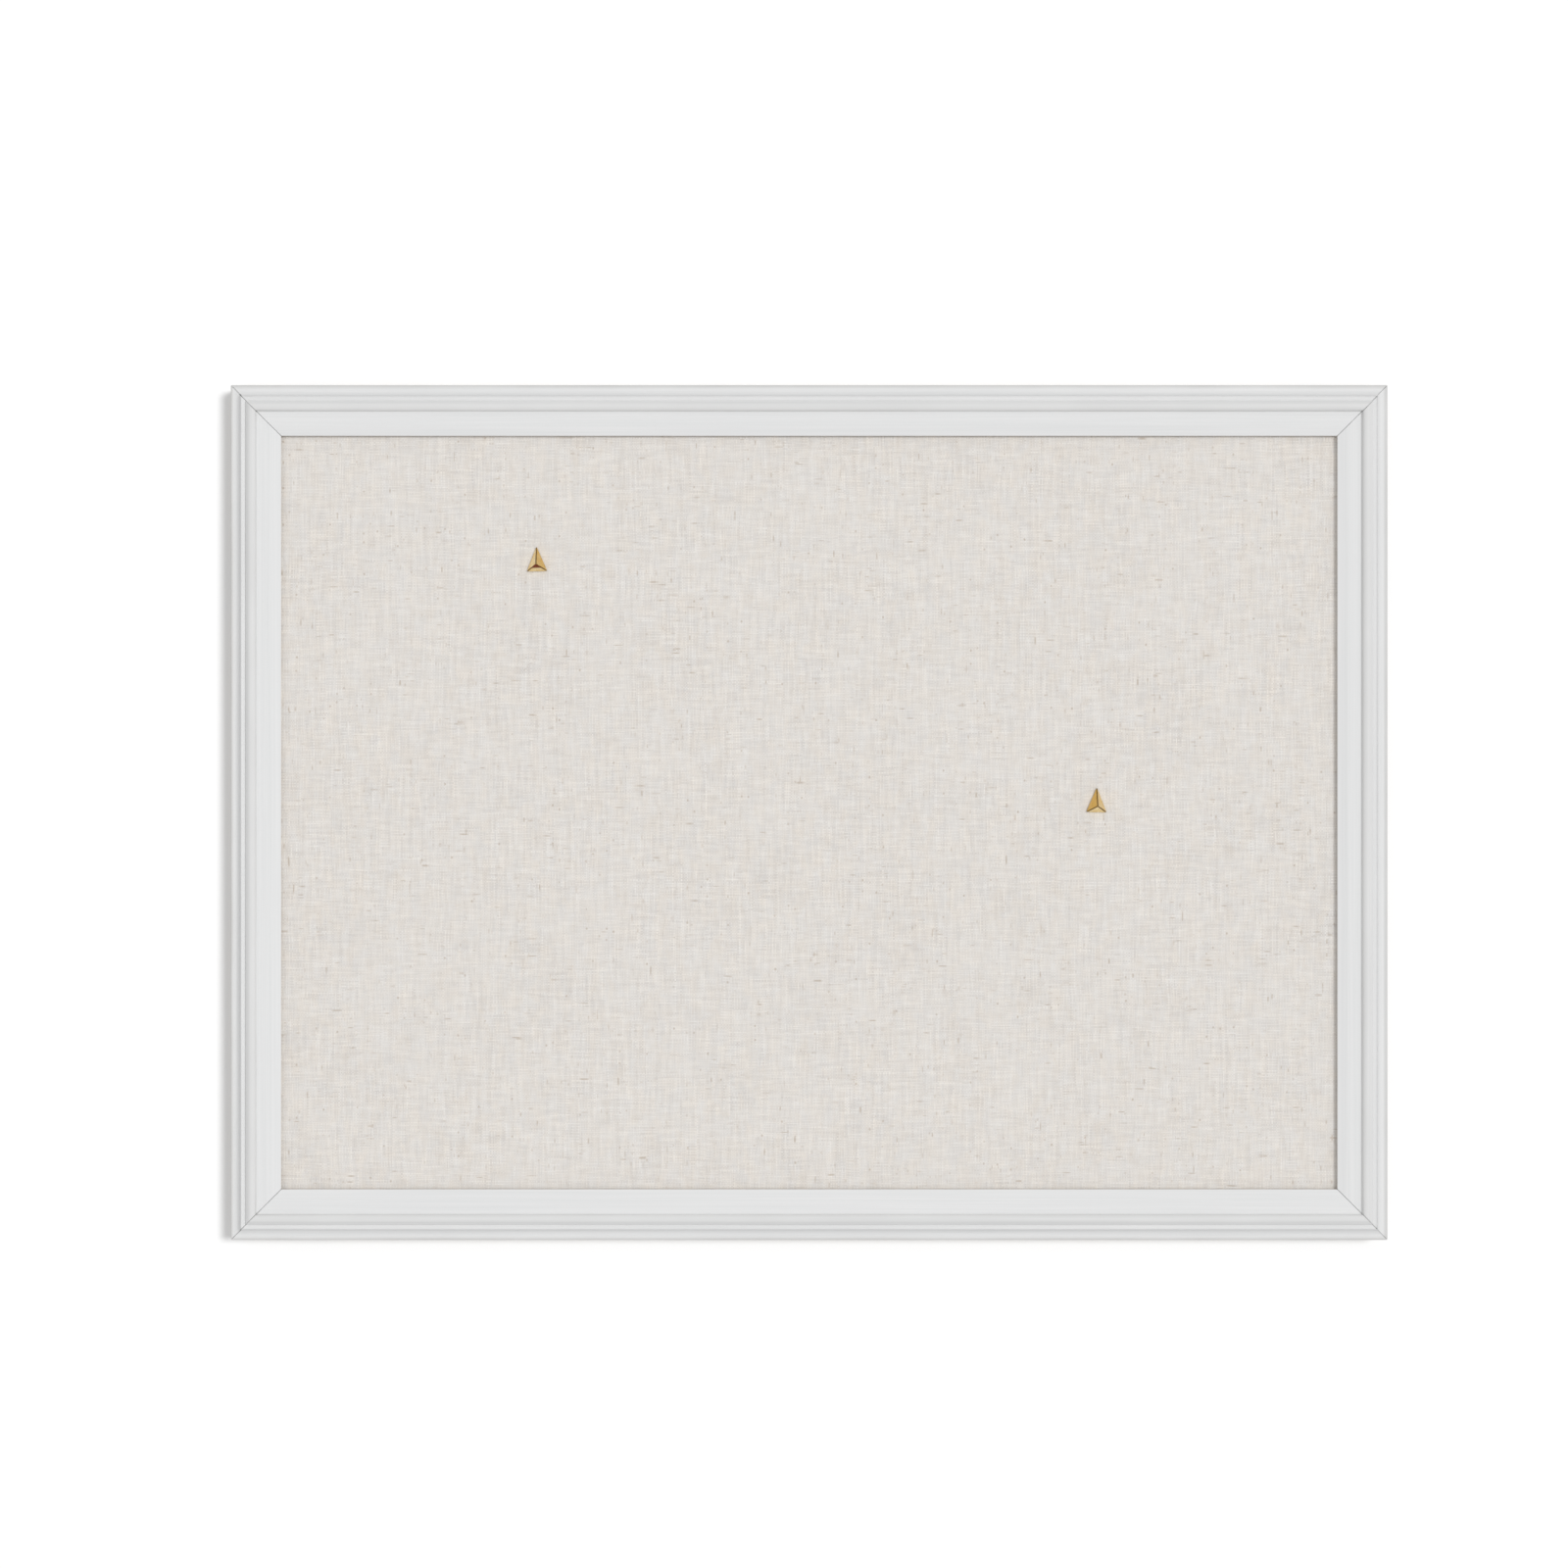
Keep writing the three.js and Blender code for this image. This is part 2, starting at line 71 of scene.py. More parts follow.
# The moulding. Widths run inwards from the outer edge, heights run forwards from the back.
REBATE_WIDTH = 6.35 * MM
ARRIS_RADIUS = 0.8 * MM
LAND_WIDTH = 1.1 * MM
LAND_FALL = 0.4 * MM  # from the arris into the cove
COVE_WIDTH = 4.3 * MM
COVE_RISE = 5.4 * MM
FILLET_WIDTH = 2.5 * MM
FILLET_FALL = 0.7 * MM  # the fillet is hollow and falls inwards
QUIRK_RISE = 1.3 * MM
TORUS_WIDTH = 2.7 * MM  # up to the crest
TORUS_RISE = 2 * MM
CREST_WIDTH = 0.3 * MM
TORUS_FALL_WIDTH = 2.2 * MM  # from the crest down to the step
TORUS_FALL = 1.4 * MM
STEP_RISE = 0.9 * MM
HOLLOW_WIDTH = 2.9 * MM
HOLLOW_RISE = 0.4 * MM
ROLL_START = 19.4 * MM  # inset of the line where the flat begins to turn down
ROLL_RADIUS = 12.5 * MM
ROLL_TURN = 11.5  # degrees
ROLL_RISE = 1.2 * MM
LIP_SANDING = 0.4 * MM  # taken off the edge of the lip
LIP_UNDERCUT = 1 * MM
LIP_THICKNESS = 2.7 * MM
PAINT_SOFTENING = 0.13 * MM  # how far the coats of paint round the corners over
MITRE_GAP = 0.09 * MM
MITRE_EASING = 0.22 * MM
BACK_RECESS = 0.06 * MM  # the V nails stand this far proud of the wood
WAVE = 0.035 * MM  # hand-sanded unevenness along the moulding
WAVE_LENGTH = 60 * MM
WAVE_WIDTH = 9 * MM

# Painted shade on the paint's outer arris and under the lip, a darkening of the torus, and the
# distances over which they fade out
SHADED_ARRIS = 1.1 * MM
SHADED_SIDE = 2.6 * MM  # below the front of the outer edge
SHADED_SIDE_FADE = 1.5 * MM
SHADED_LIP_FADE = 0.6 * MM
DARKENED_TORUS = 0.4  # share of the darkening that the crest has
MOST_DARKENED = 1.6

# The linen
CLOTH_THICKNESS = 0.5 * MM
CLOTH_EDGE_RADIUS = 1.2 * MM
CLOTH_CELL = 2.4 * MM
CLOTH_WAVE = 0.06 * MM
HEM_WIDTH = 28 * MM
HOLE_RADIUS = 0.85 * MM

# The push pins
PIN_WIDTH = 10.3 * MM
PIN_HEIGHT = 12.5 * MM
PIN_RIM = 0.8 * MM
PIN_APEX_RISE = 3.1 * MM  # from the lower edge up to the apex
PIN_CORNER_CUT = 0.5 * MM
PIN_RIDGE_ROUNDING = 0.09 * MM
PIN_BACK_EDGE = ((0, 0.16 * MM), (0.1 * MM, 0.04 * MM), (0.2 * MM, 0))  # insets and heights
PIN_TURNS = {"left": math.radians(-1.4), "right": math.radians(1)}
NEEDLE_TIP = 2.6 * MM
# Painted shade on the gold of the left, the lower and the right facet: how deep its gold is, for how
# each facet reflects
PIN_FACET_SHADES = {"left": (0.12, 0.05, 0.6), "right": (0.75, 0, 0.3)}
# A painted dark reflection in brown along the ridges, to each side of them
RIDGE_REFLECTION_WIDTH = 0.18 * MM
RIDGE_REFLECTION_WANDER = 0.1 * MM
RIDGE_REFLECTION_FADE = 0.22 * MM
DARK_REFLECTION_REACH = 1.9 * MM  # from the apex down

# The plain solids
SHARP_ANGLE = math.radians(38)
EASED_ANGLE = math.radians(50)
WELD_DISTANCE = 0.001 * MM

# Light, as shares of what makes a white surface that faces the camera come out white
WORLD_LIGHT = 0.6
KEY_LIGHT = 0.34
FILL_LIGHT = 0.06
BACK_LIGHT = 0.12
WALL_LIGHT = 0.27  # from the same side as the key light, on the wall alone
WALL_PAINT = 0.86
KEY_SUN = (25, 8, 15)  # degrees to the right, degrees up and spread, as for the other two
FILL_SUN = (-20, 5, 60)
BACK_SUN = (190, 25, 60)

# The photograph's view
CAMERA_ACROSS = -12.7 * MM
CAMERA_UP = 14.4 * MM
CAMERA_DISTANCE = 1500 * MM  # from the crest of the frame
VIEW_WIDTH = 786.9 * MM  # across the picture at that distance
SENSOR_WIDTH = 36


# Colours, written as they look in daylight
def colour(red, green, blue):
    """Three numbers from 0 to 255 as the renderer's linear colour."""
    def linear(value):
        share = value / 255
        if share <= 0.04045:
            return share / 12.92
        return ((share + 0.055) / 1.055) ** 2.4

    return linear(red), linear(green), linear(blue), 1


# Node materials
class Finish:
    """A node material under construction. Its patterns are laid out in millimetres."""

    def __init__(self, name, **settings):
        self.material = bpy.data.materials.new(name)
        self.material.use_nodes = True
        self.tree = self.material.node_tree
        self.shader = self.tree.nodes["Principled BSDF"]
        for socket, value in settings.items():
            self.shader.inputs[socket.replace("_", " ")].default_value = value
        place = self.node("ShaderNodeTexCoord").outputs["Object"]
        scaled = self.node("ShaderNodeVectorMath", operation="SCALE", Vector=place, Scale=1 / MM)
        self.place = scaled.outputs["Vector"]
        split = self.node("ShaderNodeSeparateXYZ", Vector=self.place)
        self.x, self.y, self.z = split.outputs

    def set_socket(self, socket, value):
        if isinstance(value, bpy.types.NodeSocket):
            self.tree.links.new(value, socket)
        else:
            socket.default_value = value

    def node(self, kind, **settings):
        """A node with its settings made. Those with a capital letter are its inputs."""
        made = self.tree.nodes.new(kind)
        for name, value in settings.items():
            if name[0].isupper():
                self.set_socket(made.inputs[name], value)
            else:
                setattr(made, name, value)
        return made

    def math(self, operation, first, second=0.0, third=0.0):
        made = self.node("ShaderNodeMath", operation=operation)
        for socket, value in zip(made.inputs, (first, second, third)):
            self.set_socket(socket, value)
        return made.outputs["Value"]

    def stretched(self, across, down, deep, shift=0.0):
        """The place in millimetres, divided by a grain's size along X, Z and Y."""
        parts = []
        for value, size in ((self.x, across), (self.y, deep), (self.z, down)):
            parts.append(self.math("MULTIPLY_ADD", value, 1 / size, shift))
        made = self.node("ShaderNodeCombineXYZ", X=parts[0], Y=parts[1], Z=parts[2])
        return made.outputs["Vector"]

    def noise(self, vector, detail=2.0, roughness=0.5):
        """Fractal noise from about 0.3 to 0.7."""
        made = self.node("ShaderNodeTexNoise", Vector=vector, Scale=1, Detail=detail)
        made.inputs["Roughness"].default_value = roughness
        return made.outputs["Fac"]

    def span(self, value, low, high, new_low=0.0, new_high=1.0, smooth=False):
        """The value moved from one range to another and kept inside it."""
        made = self.node("ShaderNodeMapRange")
        made.interpolation_type = "SMOOTHSTEP" if smooth else "LINEAR"
        for name, setting in (
            ("Value", value),
            ("From Min", low),
            ("From Max", high),
            ("To Min", new_low),
            ("To Max", new_high),
        ):
            self.set_socket(made.inputs[name], setting)
        return made.outputs["Result"]

    def mix(self, share, first, second, blend="MIX"):
        made = self.node("ShaderNodeMix", data_type="RGBA", blend_type=blend)
        made.clamp_factor = True
        self.set_socket(made.inputs["Factor"], share)
        for socket, value in zip([s for s in made.inputs if s.type == "RGBA"], (first, second)):
            self.set_socket(socket, value)
        return next(s for s in made.outputs if s.type == "RGBA")

    def bump(self, height, distance, strength=1.0):
        """Relief from a height that runs from 0 to 1, over a distance in metres."""
        made = self.node("ShaderNodeBump", Height=height, Distance=distance, Strength=strength)
        self.tree.links.new(made.outputs["Normal"], self.shader.inputs["Normal"])

    def link(self, value, name):
        self.tree.links.new(value, self.shader.inputs[name])


def paint_finish(name, along_x):
    """Satin white paint, brushed along the moulding and thin on its arrises, with painted shade in its
    quirks, on its outer arris and under its lip, and a darkening on its torus.
    """
    made = Finish(name, Specular_IOR_Level=0.25)
    fine, long = 0.55, 70
    across, down = (long, fine) if along_x else (fine, long)
    brush = made.noise(made.stretched(across, down, fine), detail=3)
    streak = made.noise(made.stretched(across * 2, down * 4, 3, shift=7), detail=2)
    cloud = made.noise(made.stretched(34, 34, 34), detail=2)
    grain = made.noise(made.stretched(0.35, 0.35, 0.35), detail=1)
    tone = made.math("MULTIPLY_ADD", brush, 0.5, made.math("MULTIPLY", streak, 0.5))
    white = made.mix(made.span(tone, 0.34, 0.66), colour(226, 227, 227), colour(234, 234, 234))
    white = made.mix(made.span(cloud, 0.35, 0.65, 0, 0.25), white, colour(229, 229, 230))
    crease = made.node("ShaderNodeAttribute", attribute_name="crease").outputs["Fac"]
    # Painted shade in the hollows of the section, read from the crease attribute
    painted_shade = made.math("MULTIPLY", made.span(crease, 0.05, 1), made.span(cloud, 0.3, 0.7, 0.3, 0.8))
    white = made.mix(painted_shade, white, colour(210, 209, 206))
    rubbed = made.math("MULTIPLY", made.span(crease, -0.1, -1), made.span(grain, 0.45, 0.7, 0, 0.35))
    white = made.mix(rubbed, white, colour(221, 218, 211))
    # Painted shade on the outer arris and under the lip, and a darkening on the torus
    darkened_paint = made.node("ShaderNodeAttribute", attribute_name="painted_darkening").outputs["Fac"]
    darkened_paint = made.math("MULTIPLY", darkened_paint, made.span(cloud, 0.3, 0.7, 0.35, 0.6))
    white = made.mix(darkened_paint, white, colour(196, 195, 192))
    made.link(white, "Base Color")
    made.link(made.span(streak, 0.3, 0.7, 0.52, 0.66), "Roughness")
    relief = made.math("MULTIPLY_ADD", grain, 0.35, made.math("MULTIPLY", brush, 0.65))
    made.bump(relief, 0.05 * MM, 0.5)
    return made.material


def wood_finish(name, along_x):
    """Bare pale wood on the back of the moulding, with paint carried over its outer edge."""
    made = Finish(name, Roughness=0.72)
    long, fine = 90, 1.5
    across, down = (long, fine * 2) if along_x else (fine * 2, long)
    ring = made.noise(made.stretched(across, down, 4), detail=3, roughness=0.6)
    pore_along, pore_fine = 5, 0.22
    pore_size = (pore_along, pore_fine) if along_x else (pore_fine, pore_along)
    pore = made.noise(made.stretched(*pore_size, 1), detail=2)
    cloud = made.noise(made.stretched(28, 28, 28, shift=3), detail=2)
    tan = made.mix(made.span(ring, 0.36, 0.64), colour(203, 172, 128), colour(226, 201, 162))
    tan = made.mix(made.span(cloud, 0.4, 0.7, 0, 0.4), tan, colour(196, 160, 116))
    tan = made.mix(made.span(pore, 0.6, 0.72, 0, 0.45), tan, colour(150, 112, 72))
    ragged = made.noise(made.stretched(22, 22, 22, shift=11), detail=4, roughness=0.45)
    from_side = made.math("SUBTRACT", HALF_WIDTH / MM, made.math("ABSOLUTE", made.x))
    from_end = made.math("SUBTRACT", HALF_HEIGHT / MM, made.math("ABSOLUTE", made.z))
    from_edge = made.math("MINIMUM", from_side, from_end)
    reach = made.math("MULTIPLY_ADD", pore, -1.2, made.span(ragged, 0.3, 0.7, 2.6, 4.4))
    painted = made.span(made.math("SUBTRACT", reach, from_edge), -0.5, 0.9, smooth=True)
    made.link(made.mix(painted, tan, colour(226, 226, 224)), "Base Color")
    relief = made.math("MULTIPLY_ADD", pore, 0.6, made.math("MULTIPLY", ring, 0.4))
    made.bump(relief, 0.12 * MM, 0.6)
    return made.material


def linen_finish(name):
    """Plain-woven linen: every thread has its own tone, which changes along it, and some have slubs."""
    made = Finish(name, Roughness=0.92, Sheen_Weight=0.12, Sheen_Roughness=0.5)
    pitch = 0.72
    sway = made.noise(made.stretched(60, 24, 60), detail=1)
    lean = made.noise(made.stretched(24, 60, 60, shift=5), detail=1)
    thick_warp = made.noise(made.stretched(2.1, 90, 60, shift=31), detail=1)
    thick_weft = made.noise(made.stretched(90, 2.1, 60, shift=37), detail=1)
    sway = made.math("MULTIPLY_ADD", sway, 2.4, made.math("MULTIPLY", thick_warp, 1.8))
    lean = made.math("MULTIPLY_ADD", lean, 2.4, made.math("MULTIPLY", thick_weft, 1.8))
    warp_place = made.math("MULTIPLY_ADD", made.x, 1 / pitch, sway)
    weft_place = made.math("MULTIPLY_ADD", made.z, 1 / pitch, lean)
    warp_number = made.math("FLOOR", warp_place)
    weft_number = made.math("FLOOR", weft_place)
    warp_across = made.math("SUBTRACT", made.math("FRACT", warp_place), 0.5)
    weft_across = made.math("SUBTRACT", made.math("FRACT", weft_place), 0.5)

    def thread_tone(number, along, length, detail, shift):
        """A value for each thread that wanders along it."""
        vector = made.node("ShaderNodeCombineXYZ", X=made.math("MULTIPLY", number, 3.71), Z=shift)
        made.set_socket(vector.inputs["Y"], made.math("MULTIPLY", along, 1 / length))
        return made.noise(vector.outputs["Vector"], detail=detail)

    warp_tone = thread_tone(warp_number, made.z, 26, 3, 2)
    weft_tone = thread_tone(weft_number, made.x, 15, 3, 9)
    warp_slub = thread_tone(warp_number, made.z, 7, 1, 21)
    weft_slub = thread_tone(weft_number, made.x, 9, 1, 33)

    # Which thread lies on top at each crossing, as a height for both
    parity = made.math("MODULO", made.math("ADD", warp_number, weft_number), 2)
    over = made.math("MULTIPLY_ADD", made.math("ABSOLUTE", parity), -2, 1)
    warp_round = made.math("COSINE", made.math("MULTIPLY", warp_across, math.pi))
    weft_round = made.math("COSINE", made.math("MULTIPLY", weft_across, math.pi))
    warp_wave = made.math("MULTIPLY", made.math("MULTIPLY", over, weft_round), 0.35)
    weft_wave = made.math("MULTIPLY", made.math("MULTIPLY", over, warp_round), -0.35)
    warp_height = made.math("MULTIPLY_ADD", warp_round, 0.5, warp_wave)
    weft_height = made.math("MULTIPLY_ADD", weft_round, 0.5, weft_wave)
    warp_shows = made.span(made.math("SUBTRACT", warp_height, weft_height), -0.12, 0.12)
    height = made.math("MAXIMUM", warp_height, weft_height)

    # Tone: the threads, uneven patches of them both ways, and slow clouds in the dye
    tone = made.mix(warp_shows, weft_tone, warp_tone)
    upright = made.noise(made.stretched(2.4, 9, 9, shift=14), detail=3, roughness=0.6)
    level = made.noise(made.stretched(9, 2, 9, shift=19), detail=3, roughness=0.6)
    value = made.math("MULTIPLY_ADD", upright, 0.22, made.math("MULTIPLY", level, 0.2))
    value = made.math("MULTIPLY_ADD", tone, 0.58, value)
    cloth = made.mix(made.span(value, 0.38, 0.62), colour(219, 214, 209), colour(243, 239, 234))
    tint = made.noise(made.stretched(7, 11, 9, shift=27), detail=4, roughness=0.65)
    tint = made.mix(made.span(tint, 0.38, 0.62), colour(255, 253, 250), colour(253, 254, 255))
    cloth = made.mix(1, cloth, tint, blend="MULTIPLY")
    cloud = made.noise(made.stretched(24, 34, 30, shift=4), detail=3, roughness=0.6)
    cloth = made.mix(made.span(cloud, 0.4, 0.62, 0, 0.22), cloth, colour(236, 233, 229))

    # Slubs are a thread's thick, darker stretches, and neps are small knots of fibre
    slub = made.math("MAXIMUM", made.span(weft_slub, 0.68, 0.77), made.span(warp_slub, 0.68, 0.77))
    some = made.noise(made.stretched(18, 18, 18, shift=8), detail=2)
    slub = made.math("MULTIPLY", slub, made.span(some, 0.42, 0.6, 0.15, 0.6))
    knots = made.node("ShaderNodeTexVoronoi", Vector=made.stretched(3.4, 4.2, 60, shift=6), Scale=1)
    picked = made.node("ShaderNodeSeparateColor", Color=knots.outputs["Color"]).outputs["Red"]
    near = made.span(knots.outputs["Distance"], 0.2, 0.08)
    nep = made.math("MULTIPLY", near, made.span(picked, 0.72, 0.95, 0, 0.6))
    fleck = made.math("MAXIMUM", slub, nep)
    cloth = made.mix(fleck, cloth, colour(188, 172, 154))
    shade = made.span(height, 0.1, 0.75, 0.16, 0)
    cloth = made.mix(shade, cloth, colour(150, 140, 130))

    # Painted shadow of the frame's lip on the linen, on all sides but the left
    opening = MOULDING_WIDTH - LIP_SANDING
    from_side = made.math("SUBTRACT", (HALF_WIDTH - opening) / MM, made.x)
    from_end = made.math("SUBTRACT", (HALF_HEIGHT - opening) / MM, made.math("ABSOLUTE", made.z))
    painted_shade = made.span(made.math("MINIMUM", from_side, from_end), 0.5, -0.1, 0, 0.24)
    cloth = made.mix(painted_shade, cloth, colour(150, 140, 130))
    made.link(cloth, "Base Color")
    relief = made.math("ADD", made.math("MULTIPLY", height, 0.8), made.math("MULTIPLY", fleck, 0.4))
    made.bump(relief, 0.16 * MM, 0.7)
    return made.material


def gold_finish(name):
    """Gold plating over die-cast zinc, with painted dark reflections in brown along the ridges and
    under one apex, and painted shade on the facets.
    """
    made = Finish(name, Metallic=1)
    brushed = made.noise(made.stretched(0.5, 3, 0.5), detail=3)
    cloud = made.noise(made.stretched(2.4, 2.4, 2.4), detail=2)
    gold = made.mix(made.span(cloud, 0.35, 0.65), colour(240, 213, 152), colour(251, 234, 188))
    # Painted shade: each facet's gold made deeper by its own amount
    deep = made.node("ShaderNodeAttribute", attribute_name="deep").outputs["Fac"]
    gold = made.mix(deep, gold, colour(220, 174, 76))
    # Painted dark reflection in brown along the ridges
    ridge = made.node("ShaderNodeAttribute", attribute_name="ridge").outputs["Fac"]
    brown = made.mix(made.span(brushed, 0.35, 0.65), colour(98, 68, 16), colour(126, 96, 34))
    gold = made.mix(ridge, gold, brown)
    # Painted dark reflection under the apex of the left pin
    dark_reflection = made.node("ShaderNodeAttribute", attribute_name="dark_reflection").outputs["Fac"]
    made.link(made.mix(dark_reflection, gold, colour(124, 50, 2)), "Base Color")
    made.link(made.span(brushed, 0.3, 0.7, 0.2, 0.34), "Roughness")
    made.bump(brushed, 0.02 * MM, 0.5)
    return made.material


def metal_finish(name, light, dark, stain, rough):
    """Steel with fine scratches and a few dull patches."""
    made = Finish(name, Metallic=1)
    grain = 0.8
    scratch = made.noise(made.stretched(grain * 5, grain * 0.3, grain), detail=3)
    cloud = made.noise(made.stretched(3.5, 3.5, 3.5), detail=3, roughness=0.6)
    metal = made.mix(made.span(scratch, 0.35, 0.65), dark, light)
    metal = made.mix(made.span(cloud, 0.52, 0.72, 0, 0.5), metal, stain)
    made.link(metal, "Base Color")
    made.link(made.span(cloud, 0.35, 0.7, rough, rough + 0.18), "Roughness")
    made.bump(scratch, 0.03 * MM, 0.5)
    return made.material


def rubber_finish(name):
    """Matte black rubber, a little dusty."""
    made = Finish(name, Specular_IOR_Level=0.35)
    fine = made.noise(made.stretched(0.4, 0.4, 0.4), detail=2)
    cloud = made.noise(made.stretched(4, 4, 4), detail=3)
    black = made.mix(made.span(cloud, 0.35, 0.7), colour(38, 37, 36), colour(62, 60, 57))
    black = made.mix(made.span(fine, 0.6, 0.75, 0, 0.4), black, colour(110, 106, 100))
    made.link(black, "Base Color")
    made.link(made.span(cloud, 0.3, 0.7, 0.7, 0.9), "Roughness")
    made.bump(fine, 0.05 * MM, 0.6)
    return made.material


def hardboard_finish(name):
    """The rough side of hardboard: brown fibres under the print of the wire screen it is pressed on."""
    made = Finish(name, Roughness=0.85)
    fibre = made.noise(made.stretched(1.6, 0.5, 0.6), detail=4, roughness=0.65)
    cloud = made.noise(made.stretched(45, 45, 45), detail=3)
    patch = made.noise(made.stretched(11, 7, 9, shift=23), detail=5, roughness=0.68)
    speck = made.noise(made.stretched(1.1, 1.1, 1.1, shift=17), detail=2)
    shive = made.noise(made.stretched(5.5, 0.9, 1, shift=41), detail=1)
    brown = made.mix(made.span(fibre, 0.34, 0.66), colour(112, 81, 54), colour(158, 122, 86))
    brown = made.mix(made.span(patch, 0.36, 0.66, 0, 0.6), brown, colour(166, 130, 94))
    brown = made.mix(made.span(cloud, 0.38, 0.66, 0, 0.55), brown, colour(114, 82, 54))
    brown = made.mix(made.span(shive, 0.67, 0.73, 0, 0.55), brown, colour(196, 162, 122))
    brown = made.mix(made.span(speck, 0.64, 0.74, 0, 0.7), brown, colour(62, 42, 27))
    pitch = 1.9
    wires = []
    for value in (made.x, made.z):
        turn = made.math("MULTIPLY", value, 2 * math.pi / pitch)
        wires.append(made.math("MULTIPLY_ADD", made.math("SINE", turn), 0.5, 0.5))
    screen = made.math("MULTIPLY", wires[0], wires[1])
    brown = made.mix(made.span(screen, 0, 0.5, 0.25, 0), brown, colour(74, 50, 32))
    made.link(brown, "Base Color")
    made.bump(made.math("MULTIPLY_ADD", fibre, 0.5, screen), 0.18 * MM, 0.7)
    return made.material


def softboard_finish(name):
    """Pressed softboard: pale loose fibres."""
    made = Finish(name, Roughness=0.95)
    fibre = made.noise(made.stretched(3, 0.8, 3), detail=5, roughness=0.7)
    cloud = made.noise(made.stretched(20, 20, 20), detail=3)
    tan = made.mix(made.span(fibre, 0.35, 0.65), colour(176, 152, 118), colour(208, 188, 156))
    made.link(made.mix(made.span(cloud, 0.4, 0.7, 0, 0.4), tan, colour(188, 165, 132)), "Base Color")
    made.bump(fibre, 0.4 * MM, 0.7)
    return made.material


rail_paint = paint_finish("rail_paint", along_x=True)
stile_paint = paint_finish("stile_paint", along_x=False)
rail_wood = wood_finish("rail_wood", along_x=True)
stile_wood = wood_finish("stile_wood", along_x=False)
linen = linen_finish("linen")
gold = gold_finish("gold")
plated_steel = metal_finish(
    "plated_steel", colour(214, 214, 210), colour(190, 191, 190), colour(176, 174, 168), 0.26
)
plain_steel = metal_finish(
    "plain_steel", colour(188, 189, 190), colour(150, 152, 154), colour(122, 112, 102), 0.34
)
rubber = rubber_finish("rubber")
hardboard = hardboard_finish("hardboard")
softboard = softboard_finish("softboard")


# Meshes
def piece(name, mesh, body, stands_for, materials, sharp=35):
    """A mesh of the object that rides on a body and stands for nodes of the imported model."""
    for material in materials:
        mesh.materials.append(material)
    mesh.polygons.foreach_set("use_smooth", [True] * len(mesh.polygons))
    mesh.set_sharp_from_angle(angle=math.radians(sharp))
    made = bpy.data.objects.new(name, mesh)
    bpy.context.scene.collection.objects.link(made)
    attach(made, body)
    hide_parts(*stands_for)
    return made


def closed_mesh(name, points, faces):
    """A mesh of a closed form, with its faces turned outwards."""
    mesh = bpy.data.meshes.new(name)
    mesh.from_pydata([tuple(p) for p in points], [], faces)
    shell = bmesh.new()
    shell.from_mesh(mesh)
    bmesh.ops.recalc_face_normals(shell, faces=shell.faces)
    shell.to_mesh(mesh)
    shell.free()
    return mesh


def point_values(mesh, name, values):
    """Gives each point of the mesh a number that its material reads."""
    attribute = mesh.attributes.new(name, "FLOAT", "POINT")
    attribute.data.foreach_set("value", values)


def bridge(rings):
    """Points and faces of a closed form through rings of as many points each, capped at both ends."""
    count = len(rings[0])
    points = [p for ring in rings for p in ring]
    faces = []
    for i in range(len(rings) - 1):
        for j in range(count):
            k = (j + 1) % count
            faces.append((i * count + j, i * count + k, (i + 1) * count + k, (i + 1) * count + j))
    faces.append(tuple(range(count)))
    faces.append(tuple(range(len(points) - count, len(points))))
    return points, faces


def arc(centre_x, centre_y, radius_x, radius_y, start, end, steps=24):
    """Points along an arc of an ellipse, both ends included. Angles are in degrees."""
    points = []
    for i in range(steps + 1):
        angle = math.radians(start + (end - start) * i / steps)
        points.append((centre_x + radius_x * math.cos(angle), centre_y + radius_y * math.sin(angle)))
    return points


def shoulder(start_x, start_y, end_x, end_y):
    """Points along a curve that rises from its start and is level at its end."""
    steps = 16
    points = []
    for i in range(steps + 1):
        left = 1 - i / steps
        points.append((end_x + (start_x - end_x) * left, end_y + (start_y - end_y) * left**2))
    return points


def resampled(outline, step):
    """The closed outline with points at even steps."""
    corners = [Vector(p) for p in outline]
    points = []
    for start, end in zip(corners, corners[1:] + corners[:1]):
        pieces = max(1, round((end - start).length / step))
        points += [start.lerp(end, i / pieces) for i in range(pieces)]
    return points


def softened(points, reach):
    """The closed row of points, each drawn to the middle of those within reach of it."""
    count = len(points)
    weights = [1 + math.cos(math.pi * k / (reach + 1)) for k in range(-reach, reach + 1)]
    made = []
    for i in range(count):
        near = [points[(i + k) % count] for k in range(-reach, reach + 1)]
        total = sum((p * w for p, w in zip(near, weights)), Vector((0, 0)))
        made.append(total / sum(weights))
    return made


def thinned(points, tolerance, longest):
    """The row of points without most of those on a line, and with no step longer than the longest."""
    first, last = points[0], points[-1]
    if len(points) < 3:
        return points
    along = (last - first).normalized()
    offs = [abs((p - first).cross(along)) if along.length else (p - first).length for p in points]
    farthest = max(range(len(points)), key=offs.__getitem__)
    if offs[farthest] <= tolerance:
        if (last - first).length <= longest:
            return [first, last]
        farthest = len(points) // 2
    before = thinned(points[: farthest + 1], tolerance, longest)
    return before[:-1] + thinned(points[farthest:], tolerance, longest)


# The frame
FILLET_FRONT = CREST - TORUS_RISE - QUIRK_RISE + FILLET_FALL
EDGE_FRONT = FILLET_FRONT - COVE_RISE
FLAT_FRONT = CREST - TORUS_FALL - STEP_RISE - HOLLOW_RISE
LIP_FRONT = FLAT_FRONT - ROLL_RISE
LIP_EDGE = MOULDING_WIDTH - LIP_SANDING
REBATE_DEPTH = LIP_FRONT - LIP_THICKNESS
REBATE_WALL = MOULDING_WIDTH - REBATE_WIDTH


